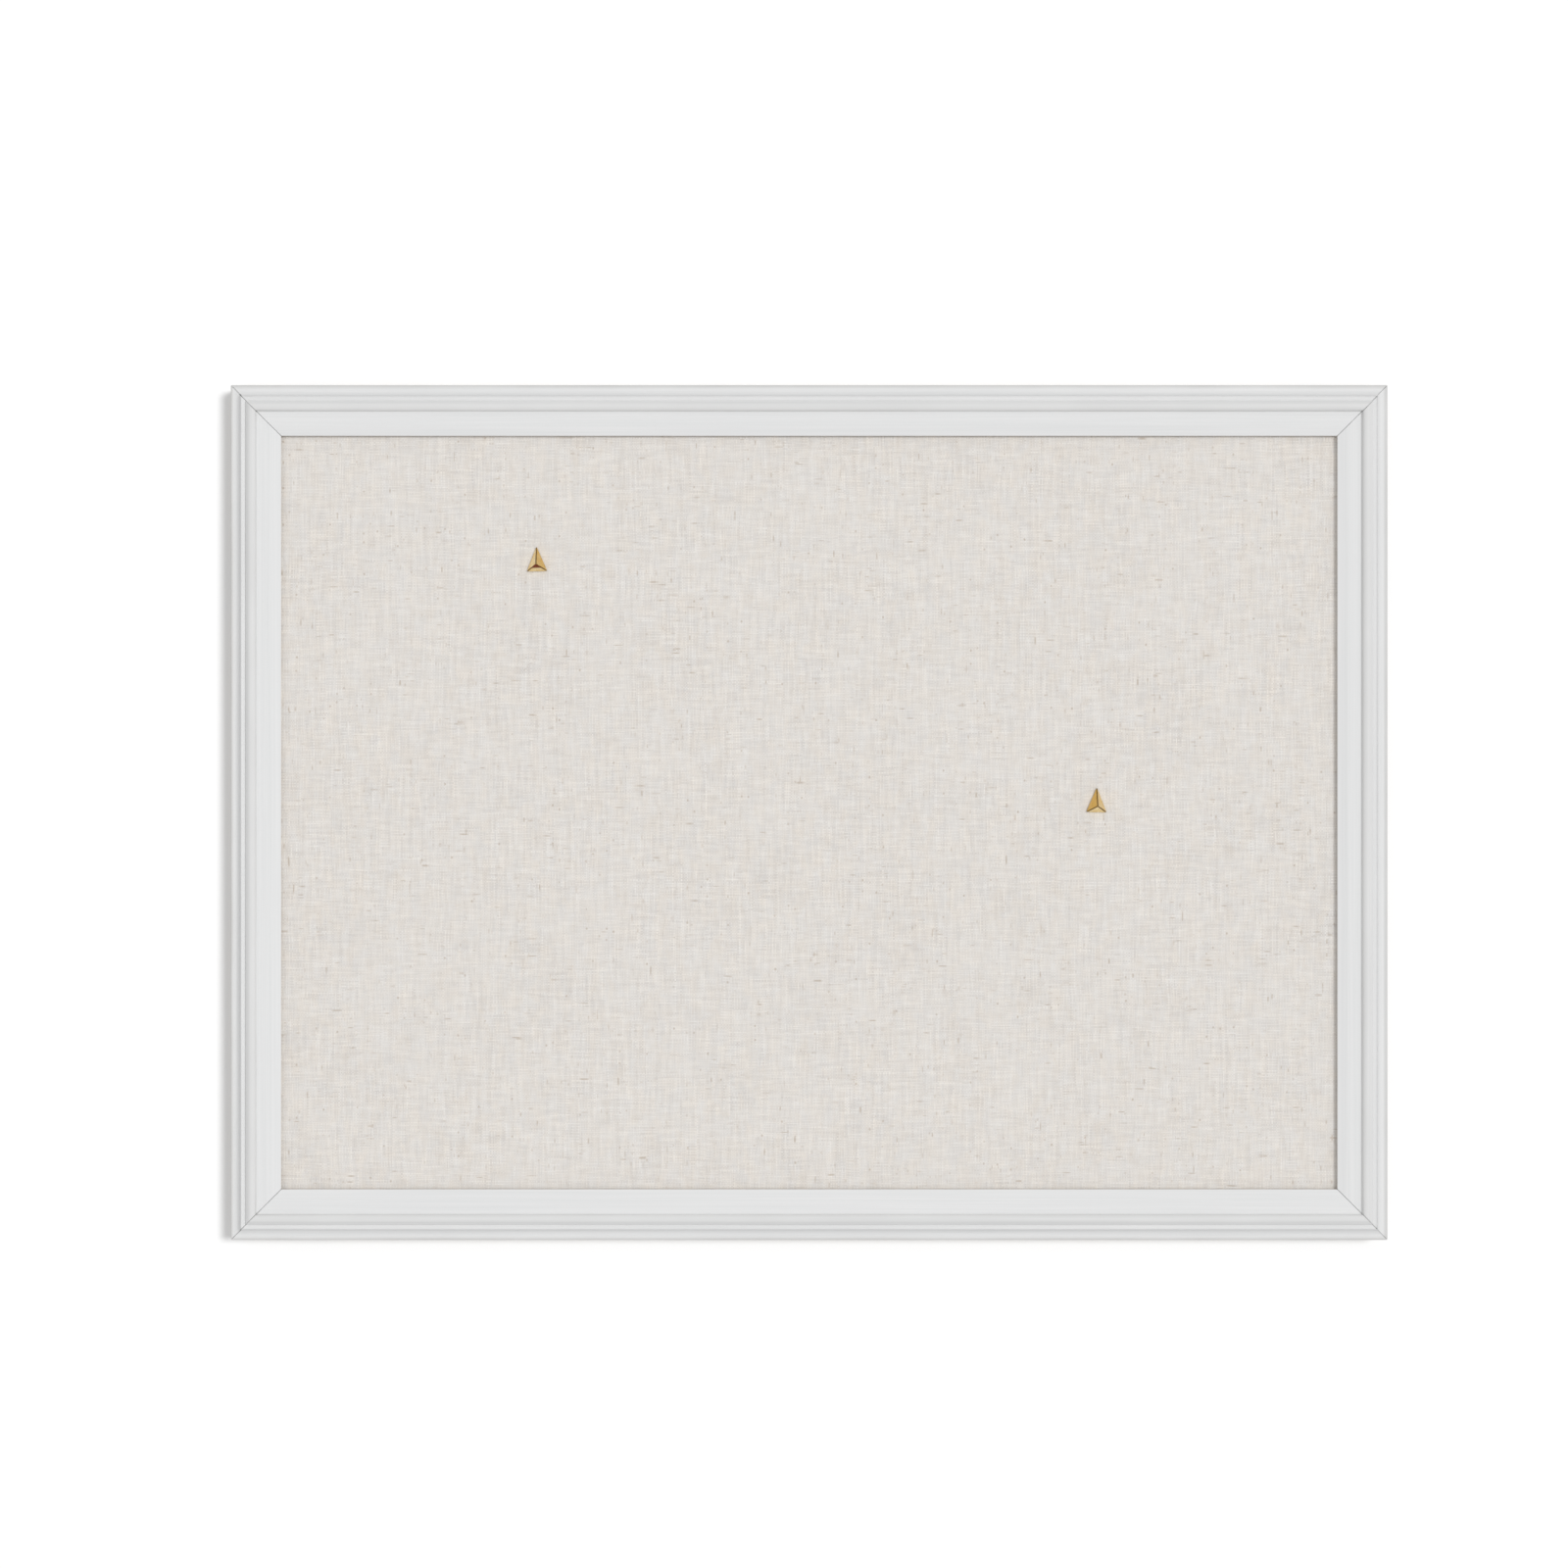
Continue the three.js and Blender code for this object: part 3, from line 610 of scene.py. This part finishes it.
def moulding_section():
    """The closed section: X is the inset from the outer edge, Y the height above the back."""
    cove_start = ARRIS_RADIUS + LAND_WIDTH
    fillet_end = cove_start + COVE_WIDTH + FILLET_WIDTH
    crest_start = fillet_end + TORUS_WIDTH
    crest_end = crest_start + CREST_WIDTH
    step = crest_end + TORUS_FALL_WIDTH
    hollow_front = FLAT_FRONT + HOLLOW_RISE
    roll_centre = FLAT_FRONT - ROLL_RADIUS
    arris_foot = EDGE_FRONT - ARRIS_RADIUS
    return [
        (0, BACK_RECESS),
        *arc(ARRIS_RADIUS, arris_foot, ARRIS_RADIUS, ARRIS_RADIUS, 180, 90, 8),
        *arc(cove_start, FILLET_FRONT, COVE_WIDTH, COVE_RISE + LAND_FALL, -90, 0),
        *arc(fillet_end, FILLET_FRONT, FILLET_WIDTH, FILLET_FALL, 180, 270),
        *shoulder(fillet_end, CREST - TORUS_RISE, crest_start, CREST),
        *arc(crest_end, CREST - TORUS_FALL, TORUS_FALL_WIDTH, TORUS_FALL, 90, 0),
        *arc(step + HOLLOW_WIDTH, hollow_front, HOLLOW_WIDTH, HOLLOW_RISE, 180, 270),
        *arc(ROLL_START, roll_centre, ROLL_RADIUS, ROLL_RADIUS, 90, 90 - ROLL_TURN, 6),
        (LIP_EDGE, LIP_FRONT),
        (LIP_EDGE - LIP_UNDERCUT, REBATE_DEPTH),
        (REBATE_WALL, REBATE_DEPTH),
        (REBATE_WALL, BACK_RECESS),
    ]


def painted_section():
    """The section under its paint and, for each point, how hollow (1) or sharp (-1) it is there."""
    step = 0.1 * MM
    tolerance = 0.004 * MM
    longest = 0.8 * MM
    soft = softened(resampled(moulding_section(), step), round(2 * PAINT_SOFTENING / step))
    kept = thinned(soft + soft[:1], tolerance, longest)[:-1]
    places = {tuple(p): i for i, p in enumerate(soft)}
    near = 5
    creases = []
    for point in kept:
        i = places[tuple(point)]
        before = point - soft[i - near]
        after = soft[(i + near) % len(soft)] - point
        creases.append(before.cross(after) / (before.length * after.length))
    return kept, creases


section, creases = painted_section()


def painted_darkening(inset, height):
    """How much the paint is darkened at a point of the section: painted shade on the arris and under
    the lip, and a darkening on the torus.
    """
    # Painted shade over the outer arris and down the top of the outer side
    over_arris = 1 - (inset - ARRIS_RADIUS) / SHADED_ARRIS
    down_side = (height - EDGE_FRONT + SHADED_SIDE) / SHADED_SIDE_FADE
    torus = DARKENED_TORUS * min(1, 2 * (height - CREST + TORUS_FALL) / TORUS_FALL)
    on_lip = inset > REBATE_WALL + 1 * MM
    # Painted shade on the lip's inner wall, under its edge
    under_lip = (LIP_FRONT - height) / SHADED_LIP_FADE if on_lip else 0
    return min(MOST_DARKENED, max(0, under_lip, torus, min(1, over_arris, down_side)))


def eased_section():
    """The section drawn in a little all round, as it is where the mitre was sanded."""
    made = []
    for i, point in enumerate(section):
        along = section[(i + 1) % len(section)] - section[i - 1]
        inwards = Vector((along.y, -along.x)).normalized()
        made.append(point + inwards * MITRE_EASING)
    return made


def frame_side(name, node, turns, length, out, paint, wood):
    """One side of the frame, made along the top and turned to its place."""
    stations = 28
    eased = eased_section()
    rings = []
    for i in range(stations + 1):
        at_end = i in (0, stations)
        beside_end = i in (1, stations - 1)
        share = 2 * i / stations - 1
        if beside_end:
            share = math.copysign(1, share)
        ring = []
        for inset, height in eased if at_end else section:
            reach = length / 2 - inset - MITRE_GAP - (MITRE_EASING if beside_end else 0)
            drift = Vector((share * reach / WAVE_LENGTH, inset / WAVE_WIDTH, 10 * turns))
            dip = WAVE * (1 - noise.noise(drift)) / 2 * min(1, height / EDGE_FRONT)
            ring.append(Vector((share * reach, FRAME_BACK - height + dip, out - inset)))
        rings.append(ring)
    points, faces = bridge(rings)
    turned = Matrix.Rotation(turns * math.pi / 2, 3, "Y")
    mesh = closed_mesh(name, [turned @ p for p in points], faces)
    point_values(mesh, "crease", creases * len(rings))
    # Painted shade on the arris and under the lip, and the darkening of the torus
    point_values(mesh, "painted_darkening", [painted_darkening(*p) for p in section] * len(rings))
    bare = bare_points()
    for polygon in mesh.polygons:
        polygon.material_index = int(all(v % len(section) in bare for v in polygon.vertices))
    piece(name, mesh, "board", [node], [paint, wood])


def bare_points():
    """The points of the section that no paint reaches: the back and the rebate."""
    slack = 0.3 * MM
    return {
        i
        for i, (inset, height) in enumerate(section)
        if height < BACK_RECESS + slack
        or (height < REBATE_DEPTH + slack and inset > REBATE_WALL - slack)
    }


for side in (
    ("frame_top", "rail_top", 0, 2 * HALF_WIDTH, HALF_HEIGHT, rail_paint, rail_wood),
    ("frame_right", "stile_right", 1, 2 * HALF_HEIGHT, HALF_WIDTH, stile_paint, stile_wood),
    ("frame_bottom", "rail_bottom", 2, 2 * HALF_WIDTH, HALF_HEIGHT, rail_paint, rail_wood),
    ("frame_left", "stile_left", 3, 2 * HALF_HEIGHT, HALF_WIDTH, stile_paint, stile_wood),
):
    frame_side(*side)


# The linen
cover_low, cover_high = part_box("linen_cover")
COVER_FRONT = cover_low.y
COVER_DEPTH = cover_high.y - cover_low.y
FACE_HALF_WIDTH = cover_high.x - CLOTH_EDGE_RADIUS
FACE_HALF_HEIGHT = cover_high.z - CLOTH_EDGE_RADIUS


def needle_place(side):
    """Where the pin's needle stands on the board: across and up."""
    low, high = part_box(f"pin_needle_{side}")
    return (low.x + high.x) / 2, (low.z + high.z) / 2


def cloth_hollow(x, z):
    """How far the stretched linen lies behind its foremost plane."""
    tight = 12 * MM  # how far the core's edge holds it flat
    to_edge = min(FACE_HALF_WIDTH - abs(x), FACE_HALF_HEIGHT - abs(z)) / tight
    slow = noise.noise(Vector((x / (70 * MM), z / (95 * MM), 1)))
    quick = noise.noise(Vector((x / (9 * MM), z / (16 * MM), 2)))
    return CLOTH_WAVE * min(1, to_edge) * (1 + 0.7 * slow + 0.3 * quick) / 2


def cloth_face(cloth):
    """The front of the linen as a fine grid, up to where its edges turn. Gives back its rows."""
    columns = 2 * round(FACE_HALF_WIDTH / CLOTH_CELL)
    rows = 2 * round(FACE_HALF_HEIGHT / CLOTH_CELL)
    grid = []
    for j in range(rows + 1):
        z = FACE_HALF_HEIGHT * (2 * j / rows - 1)
        across = [FACE_HALF_WIDTH * (2 * i / columns - 1) for i in range(columns + 1)]
        grid.append([cloth.verts.new((x, COVER_FRONT + cloth_hollow(x, z), z)) for x in across])
    for low, high in zip(grid, grid[1:]):
        for i in range(columns):
            cloth.faces.new((low[i], low[i + 1], high[i + 1], high[i]))
    return grid


def loop_round(grid, first_row, last_row, first_column, last_column):
    """The points of the grid round a block of it, counter-clockwise from its lower left."""
    bottom = [grid[first_row][i] for i in range(first_column, last_column)]
    right = [grid[j][last_column] for j in range(first_row, last_row)]
    top = [grid[last_row][i] for i in range(last_column, first_column, -1)]
    left = [grid[j][first_column] for j in range(last_row, first_row, -1)]
    return bottom + right + top + left


def join_rings(cloth, outer, inner):
    """Faces between two closed rings of as many points each."""
    for i, point in enumerate(outer):
        j = (i + 1) % len(outer)
        cloth.faces.new((point, outer[j], inner[j], inner[i]))


def needle_hole(cloth, grid, x, z):
    """A hole that the needle has made, with the linen drawn in round it."""
    column = round((x / FACE_HALF_WIDTH + 1) / 2 * (len(grid[0]) - 1))
    row = round((z / FACE_HALF_HEIGHT + 1) / 2 * (len(grid) - 1))
    outer = loop_round(grid, row - 2, row + 2, column - 2, column + 2)
    inside = [grid[j][i] for j in (row - 1, row, row + 1) for i in (column - 1, column, column + 1)]
    bmesh.ops.delete(cloth, geom=inside, context="VERTS")
    first = math.atan2(outer[0].co.z - z, outer[0].co.x - x)
    for radius, depth in (
        (3.2 * HOLE_RADIUS, 0),
        (2 * HOLE_RADIUS, 0.1 * CLOTH_THICKNESS),
        (1.3 * HOLE_RADIUS, 0.3 * CLOTH_THICKNESS),
        (HOLE_RADIUS, 0.6 * CLOTH_THICKNESS),
    ):
        ring = []
        for i in range(len(outer)):
            angle = first + 2 * math.pi * i / len(outer)
            place = (x + radius * math.cos(angle), z + radius * math.sin(angle))
            height = COVER_FRONT + cloth_hollow(*place) + depth
            ring.append(cloth.verts.new((place[0], height, place[1])))
        join_rings(cloth, outer, ring)
        outer = ring


def turned_edges(cloth, grid):
    """Takes the edges of the linen round the core and turns a mitred hem behind it."""
    steps = 4
    stages = []
    for i in range(1, steps + 1):
        angle = math.pi / 2 * i / steps
        stages.append((math.sin(angle) * CLOTH_EDGE_RADIUS, (1 - math.cos(angle)) * CLOTH_EDGE_RADIUS))
    for i in range(steps + 1):
        angle = math.pi / 2 * i / steps
        grown = math.cos(angle) * CLOTH_EDGE_RADIUS
        stages.append((grown, COVER_DEPTH - (1 - math.sin(angle)) * CLOTH_EDGE_RADIUS))
    stages.append((-HEM_WIDTH / 2, COVER_DEPTH))
    stages.append((CLOTH_EDGE_RADIUS - HEM_WIDTH, COVER_DEPTH))
    outer = loop_round(grid, 0, len(grid) - 1, 0, len(grid[0]) - 1)
    shares = [(p.co.x / FACE_HALF_WIDTH, p.co.z / FACE_HALF_HEIGHT) for p in outer]
    for grown, depth in stages:
        ring = []
        for across, up in shares:
            x = across * (FACE_HALF_WIDTH + grown)
            z = up * (FACE_HALF_HEIGHT + grown)
            ring.append(cloth.verts.new((x, COVER_FRONT + depth, z)))
        join_rings(cloth, ring, outer)
        outer = ring


def stretched_linen():
    """The linen, as one sheet with a thickness."""
    cloth = bmesh.new()
    grid = cloth_face(cloth)
    turned_edges(cloth, grid)
    for side in PIN_TURNS:
        needle_hole(cloth, grid, *needle_place(side))
    mesh = bpy.data.meshes.new("linen_sheet")
    cloth.to_mesh(mesh)
    cloth.free()
    made = piece("linen_sheet", mesh, "board", ["linen_cover"], [linen], sharp=60)
    thickness = made.modifiers.new("thickness", "SOLIDIFY")
    thickness.thickness = CLOTH_THICKNESS
    thickness.offset = -1


stretched_linen()


# The push pins. Each head is made round its needle: X across, Y back, Z up.
def between(first, second, share):
    return first + (second - first) * share


class PinHead:
    """A three-sided pyramid on a thin rim, with its ridges rounded over."""

    def __init__(self, side):
        self.side = side
        low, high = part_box(f"pin_head_{side}")
        self.back = high.y
        self.projection = high.y - low.y
        foot = -PIN_HEIGHT / 3
        self.apex = Vector((0, foot + PIN_APEX_RISE))
        self.corners = [
            Vector((0, foot + PIN_HEIGHT)),
            Vector((-PIN_WIDTH / 2, foot)),
            Vector((PIN_WIDTH / 2, foot)),
        ]

    def height(self, place):
        """How far the head stands forward of its back at a place across and up."""
        total = 0
        for i, corner in enumerate(self.corners):
            along = self.corners[(i + 1) % 3] - corner
            share = (place - corner).cross(along) / (self.apex - corner).cross(along)
            plane = PIN_RIM + (self.projection - PIN_RIM) * share
            total += math.exp(-plane / PIN_RIDGE_ROUNDING)
        return -PIN_RIDGE_ROUNDING * math.log(total)

    def from_ridge(self, place):
        """The distance from a place to the nearest ridge, seen from the front."""
        nearest = PIN_WIDTH
        for corner in self.corners:
            ridge = corner - self.apex
            share = min(1, max(0, (place - self.apex).dot(ridge) / ridge.length_squared))
            nearest = min(nearest, (place - self.apex - ridge * share).length)
        return nearest

    def outline(self):
        """The places round the head, with each corner cut off, and the facet that each is on."""
        steps = (0, 0.02, 0.045, 0.08, 0.13, 0.2, 0.3, 0.42, 0.5)
        steps = steps + tuple(1 - s for s in reversed(steps[:-1]))
        places = []
        for i, corner in enumerate(self.corners):
            following = self.corners[(i + 1) % 3]
            along = (following - corner).normalized() * PIN_CORNER_CUT
            start, end = corner + along, following - along
            back = (self.corners[i - 1] - corner).normalized() * PIN_CORNER_CUT
            places.append(((start + corner + back) / 2, i))
            places += [(between(start, end, s), i) for s in steps]
        return places

    def build(self):
        outline = self.outline()
        count = len(outline)
        rows = (0.02, 0.06, 0.11, 0.17, 0.24, 0.32, 0.41, 0.5, 0.6, 0.7, 0.8, 0.88, 0.94, 0.98, 1)
        points, ridge, deep, dark_reflection = [], [], [], []
        for share in rows:
            for place, facet in outline:
                here = between(self.apex, place, share)
                # Painted dark reflection beside the ridges, with a wandering edge
                wobble = noise.noise(Vector((here.x, here.y, 3 * MM)) / (0.6 * MM))
                beside = self.from_ridge(here) - RIDGE_REFLECTION_WIDTH - RIDGE_REFLECTION_WANDER * wobble
                points.append((here.x, -self.height(here), here.y))
                ridge.append(min(1, max(0, 1 - beside / RIDGE_REFLECTION_FADE)))
                deep.append(PIN_FACET_SHADES[self.side][facet])
                dark_reflection.append(self.dark_reflection(here, facet))
        for inset, height in PIN_BACK_EDGE:
            for place, facet in outline:
                here = place - (place - self.centre()).normalized() * inset
                points.append((here.x, -height, here.y))
                # The back edge gets a little of the painted ridge reflection and of the painted facet
                # shade
                ridge.append(0.35)
                deep.append(0.5)
                dark_reflection.append(0)
        rings = [points[i : i + count] for i in range(0, len(points), count)]
        points, faces = bridge(rings)
        turn = Matrix.Rotation(PIN_TURNS[self.side], 3, "Y")
        across, up = needle_place(self.side)
        stand = Vector((across, self.back, up))
        name = f"gold_head_{self.side}"
        mesh = closed_mesh(name, [turn @ Vector(p) + stand for p in points], faces)
        point_values(mesh, "ridge", ridge)
        point_values(mesh, "deep", deep)
        point_values(mesh, "dark_reflection", dark_reflection)
        piece(name, mesh, f"pin_{self.side}", [f"pin_head_{self.side}"], [gold], sharp=40)

    def centre(self):
        return sum(self.corners, Vector((0, 0))) / 3

    def dark_reflection(self, place, facet):
        """A painted dark reflection under the apex, on the lower facet of the left pin alone."""
        if self.side != "left" or facet != 1:
            return 0
        fall = (self.apex.y - place.y) / DARK_REFLECTION_REACH
        return min(1, max(0, 4 * (1 - fall)))


def needle(side):
    """The turned steel needle, with its collar against the head and a ground point."""
    low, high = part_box(f"pin_needle_{side}")
    head_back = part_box(f"pin_head_{side}")[1].y
    radius = (high.x - low.x) / 2
    profile = [
        (radius, head_back - 1.2 * MM),
        (radius, head_back - 0.1 * MM),
        (radius * 1.5, head_back - 0.02 * MM),
        (radius * 1.4, head_back + 0.08 * MM),
        (radius, head_back + 0.14 * MM),
        (radius, high.y - NEEDLE_TIP),
        (radius * 0.86, high.y - NEEDLE_TIP * 0.72),
        (radius * 0.5, high.y - NEEDLE_TIP * 0.3),
        (radius * 0.12, high.y - NEEDLE_TIP * 0.03),
    ]
    across, up = needle_place(side)
    around = 20
    rings = []
    for distance, y in profile:
        ring = []
        for i in range(around):
            angle = 2 * math.pi * i / around
            ring.append((across + distance * math.cos(angle), y, up + distance * math.sin(angle)))
        rings.append(ring)
    name = f"steel_needle_{side}"
    mesh = closed_mesh(name, *bridge(rings))
    piece(name, mesh, f"pin_{side}", [f"pin_needle_{side}"], [plain_steel])


for side in PIN_TURNS:
    PinHead(side).build()
    needle(side)


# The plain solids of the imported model, with their edges eased and their own finishes
def smooth_by_angle():
    """A modifier's node tree that smooths a form everywhere but across its sharp edges."""
    tree = bpy.data.node_groups.new("smooth_by_angle", "GeometryNodeTree")
    tree.interface.new_socket("Geometry", in_out="INPUT", socket_type="NodeSocketGeometry")
    tree.interface.new_socket("Geometry", in_out="OUTPUT", socket_type="NodeSocketGeometry")
    start = tree.nodes.new("NodeGroupInput")
    end = tree.nodes.new("NodeGroupOutput")
    angle = tree.nodes.new("GeometryNodeInputMeshEdgeAngle")
    sharp = tree.nodes.new("FunctionNodeCompare")
    sharp.data_type = "FLOAT"
    sharp.operation = "GREATER_THAN"
    sharp.inputs[1].default_value = SHARP_ANGLE
    smooth = tree.nodes.new("GeometryNodeSetShadeSmooth")
    smooth.domain = "FACE"
    smooth.inputs["Shade Smooth"].default_value = True
    split = tree.nodes.new("GeometryNodeSetShadeSmooth")
    split.domain = "EDGE"
    split.inputs["Shade Smooth"].default_value = False
    tree.links.new(angle.outputs["Unsigned Angle"], sharp.inputs[0])
    tree.links.new(start.outputs[0], smooth.inputs["Geometry"])
    tree.links.new(smooth.outputs["Geometry"], split.inputs["Geometry"])
    tree.links.new(sharp.outputs["Result"], split.inputs["Selection"])
    tree.links.new(split.outputs["Geometry"], end.inputs[0])
    return tree


smoothing = smooth_by_angle()


def dress(prefix, material, easing):
    """Gives the nodes whose names start so their finish, with edges eased by a width."""
    for name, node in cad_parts.items():
        if not name.startswith(prefix):
            continue
        for slot in node.material_slots:
            slot.material = material
        weld = node.modifiers.new("weld", "WELD")
        weld.merge_threshold = WELD_DISTANCE
        if easing:
            bevel = node.modifiers.new("easing", "BEVEL")
            bevel.width = easing
            bevel.segments = 2
            bevel.limit_method = "ANGLE"
            bevel.angle_limit = EASED_ANGLE
        shading = node.modifiers.new("shading", "NODES")
        shading.node_group = smoothing


dress("core_board", softboard, 0)
dress("backer_board", hardboard, 0.2 * MM)
dress("v_nail_", plain_steel, 0)
dress("point_", plain_steel, 0.06 * MM)
dress("hanger_strap_", plated_steel, 0.12 * MM)
dress("hanger_ring_", plated_steel, 0)
dress("hanger_screw_", plated_steel, 0.08 * MM)
dress("bumper_", rubber, 0.15 * MM)


# The wall, seen by the camera alone so that light from behind still reaches the board's back
def wall_finish():
    """Matte white paint on the side that faces the room, and nothing on the other."""
    material = bpy.data.materials.new("wall")
    material.use_nodes = True
    tree = material.node_tree
    tree.nodes.clear()
    paint = tree.nodes.new("ShaderNodeBsdfDiffuse")
    paint.inputs["Color"].default_value = (WALL_PAINT, WALL_PAINT, WALL_PAINT, 1)
    clear = tree.nodes.new("ShaderNodeBsdfTransparent")
    facing = tree.nodes.new("ShaderNodeNewGeometry")
    choice = tree.nodes.new("ShaderNodeMixShader")
    end = tree.nodes.new("ShaderNodeOutputMaterial")
    tree.links.new(facing.outputs["Backfacing"], choice.inputs["Fac"])
    tree.links.new(paint.outputs["BSDF"], choice.inputs[1])
    tree.links.new(clear.outputs["BSDF"], choice.inputs[2])
    tree.links.new(choice.outputs["Shader"], end.inputs["Surface"])
    return material


def wall():
    reach = 6
    behind = 0.2 * MM
    corners = []
    for across, up in ((-1, -1), (1, -1), (1, 1), (-1, 1)):
        corners.append((across * reach, behind, up * reach))
    mesh = bpy.data.meshes.new("wall")
    mesh.from_pydata(corners, [], [(0, 1, 2, 3)])
    mesh.materials.append(wall_finish())
    made = bpy.data.objects.new("wall", mesh)
    bpy.context.scene.collection.objects.link(made)
    made.visible_shadow = False
    made.visible_diffuse = False
    made.visible_glossy = False
    made.visible_transmission = False
    return made


backdrop = wall()


# Light
def sun(name, place, share):
    """A sun at a place in degrees, which gives a share of white to a surface that faces it."""
    across, up, spread = place
    lamp = bpy.data.lights.new(name, "SUN")
    lamp.angle = math.radians(spread)
    lamp.energy = share * math.pi
    made = bpy.data.objects.new(name, lamp)
    made.rotation_euler = (math.radians(90 - up), 0, math.radians(across))
    bpy.context.scene.collection.objects.link(made)
    return made


def daylight():
    """White where the camera or a reflection sees it, and dimmer as a light on matte surfaces."""
    world = bpy.data.worlds.new("daylight")
    world.use_nodes = True
    tree = world.node_tree
    background = tree.nodes["Background"]
    background.inputs["Color"].default_value = (1, 1, 1, 1)
    rays = tree.nodes.new("ShaderNodeLightPath")
    seen = rays.outputs["Is Camera Ray"]
    for name in ("Is Glossy Ray", "Is Transmission Ray"):
        either = tree.nodes.new("ShaderNodeMath")
        either.operation = "MAXIMUM"
        tree.links.new(seen, either.inputs[0])
        tree.links.new(rays.outputs[name], either.inputs[1])
        seen = either.outputs["Value"]
    strength = tree.nodes.new("ShaderNodeMapRange")
    strength.inputs["To Min"].default_value = WORLD_LIGHT
    strength.inputs["To Max"].default_value = 1
    tree.links.new(seen, strength.inputs["Value"])
    tree.links.new(strength.outputs["Result"], background.inputs["Strength"])
    bpy.context.scene.world = world


daylight()
sun("key", KEY_SUN, KEY_LIGHT)
sun("fill", FILL_SUN, FILL_LIGHT)
on_wall = sun("wall", KEY_SUN, WALL_LIGHT)
on_wall.light_linking.receiver_collection = bpy.data.collections.new("wall_alone")
on_wall.light_linking.receiver_collection.objects.link(backdrop)
sun("behind", BACK_SUN, BACK_LIGHT)

# The camera
lens = bpy.data.cameras.new("camera")
lens.sensor_width = SENSOR_WIDTH
lens.lens = SENSOR_WIDTH * CAMERA_DISTANCE / VIEW_WIDTH
camera = bpy.data.objects.new("camera", lens)
camera.location = (CAMERA_ACROSS, cad_box[0].y - CAMERA_DISTANCE, CAMERA_UP)
camera.rotation_euler = (math.pi / 2, 0, 0)
bpy.context.scene.collection.objects.link(camera)
bpy.context.scene.camera = camera
bpy.context.scene.view_settings.view_transform = "Standard"
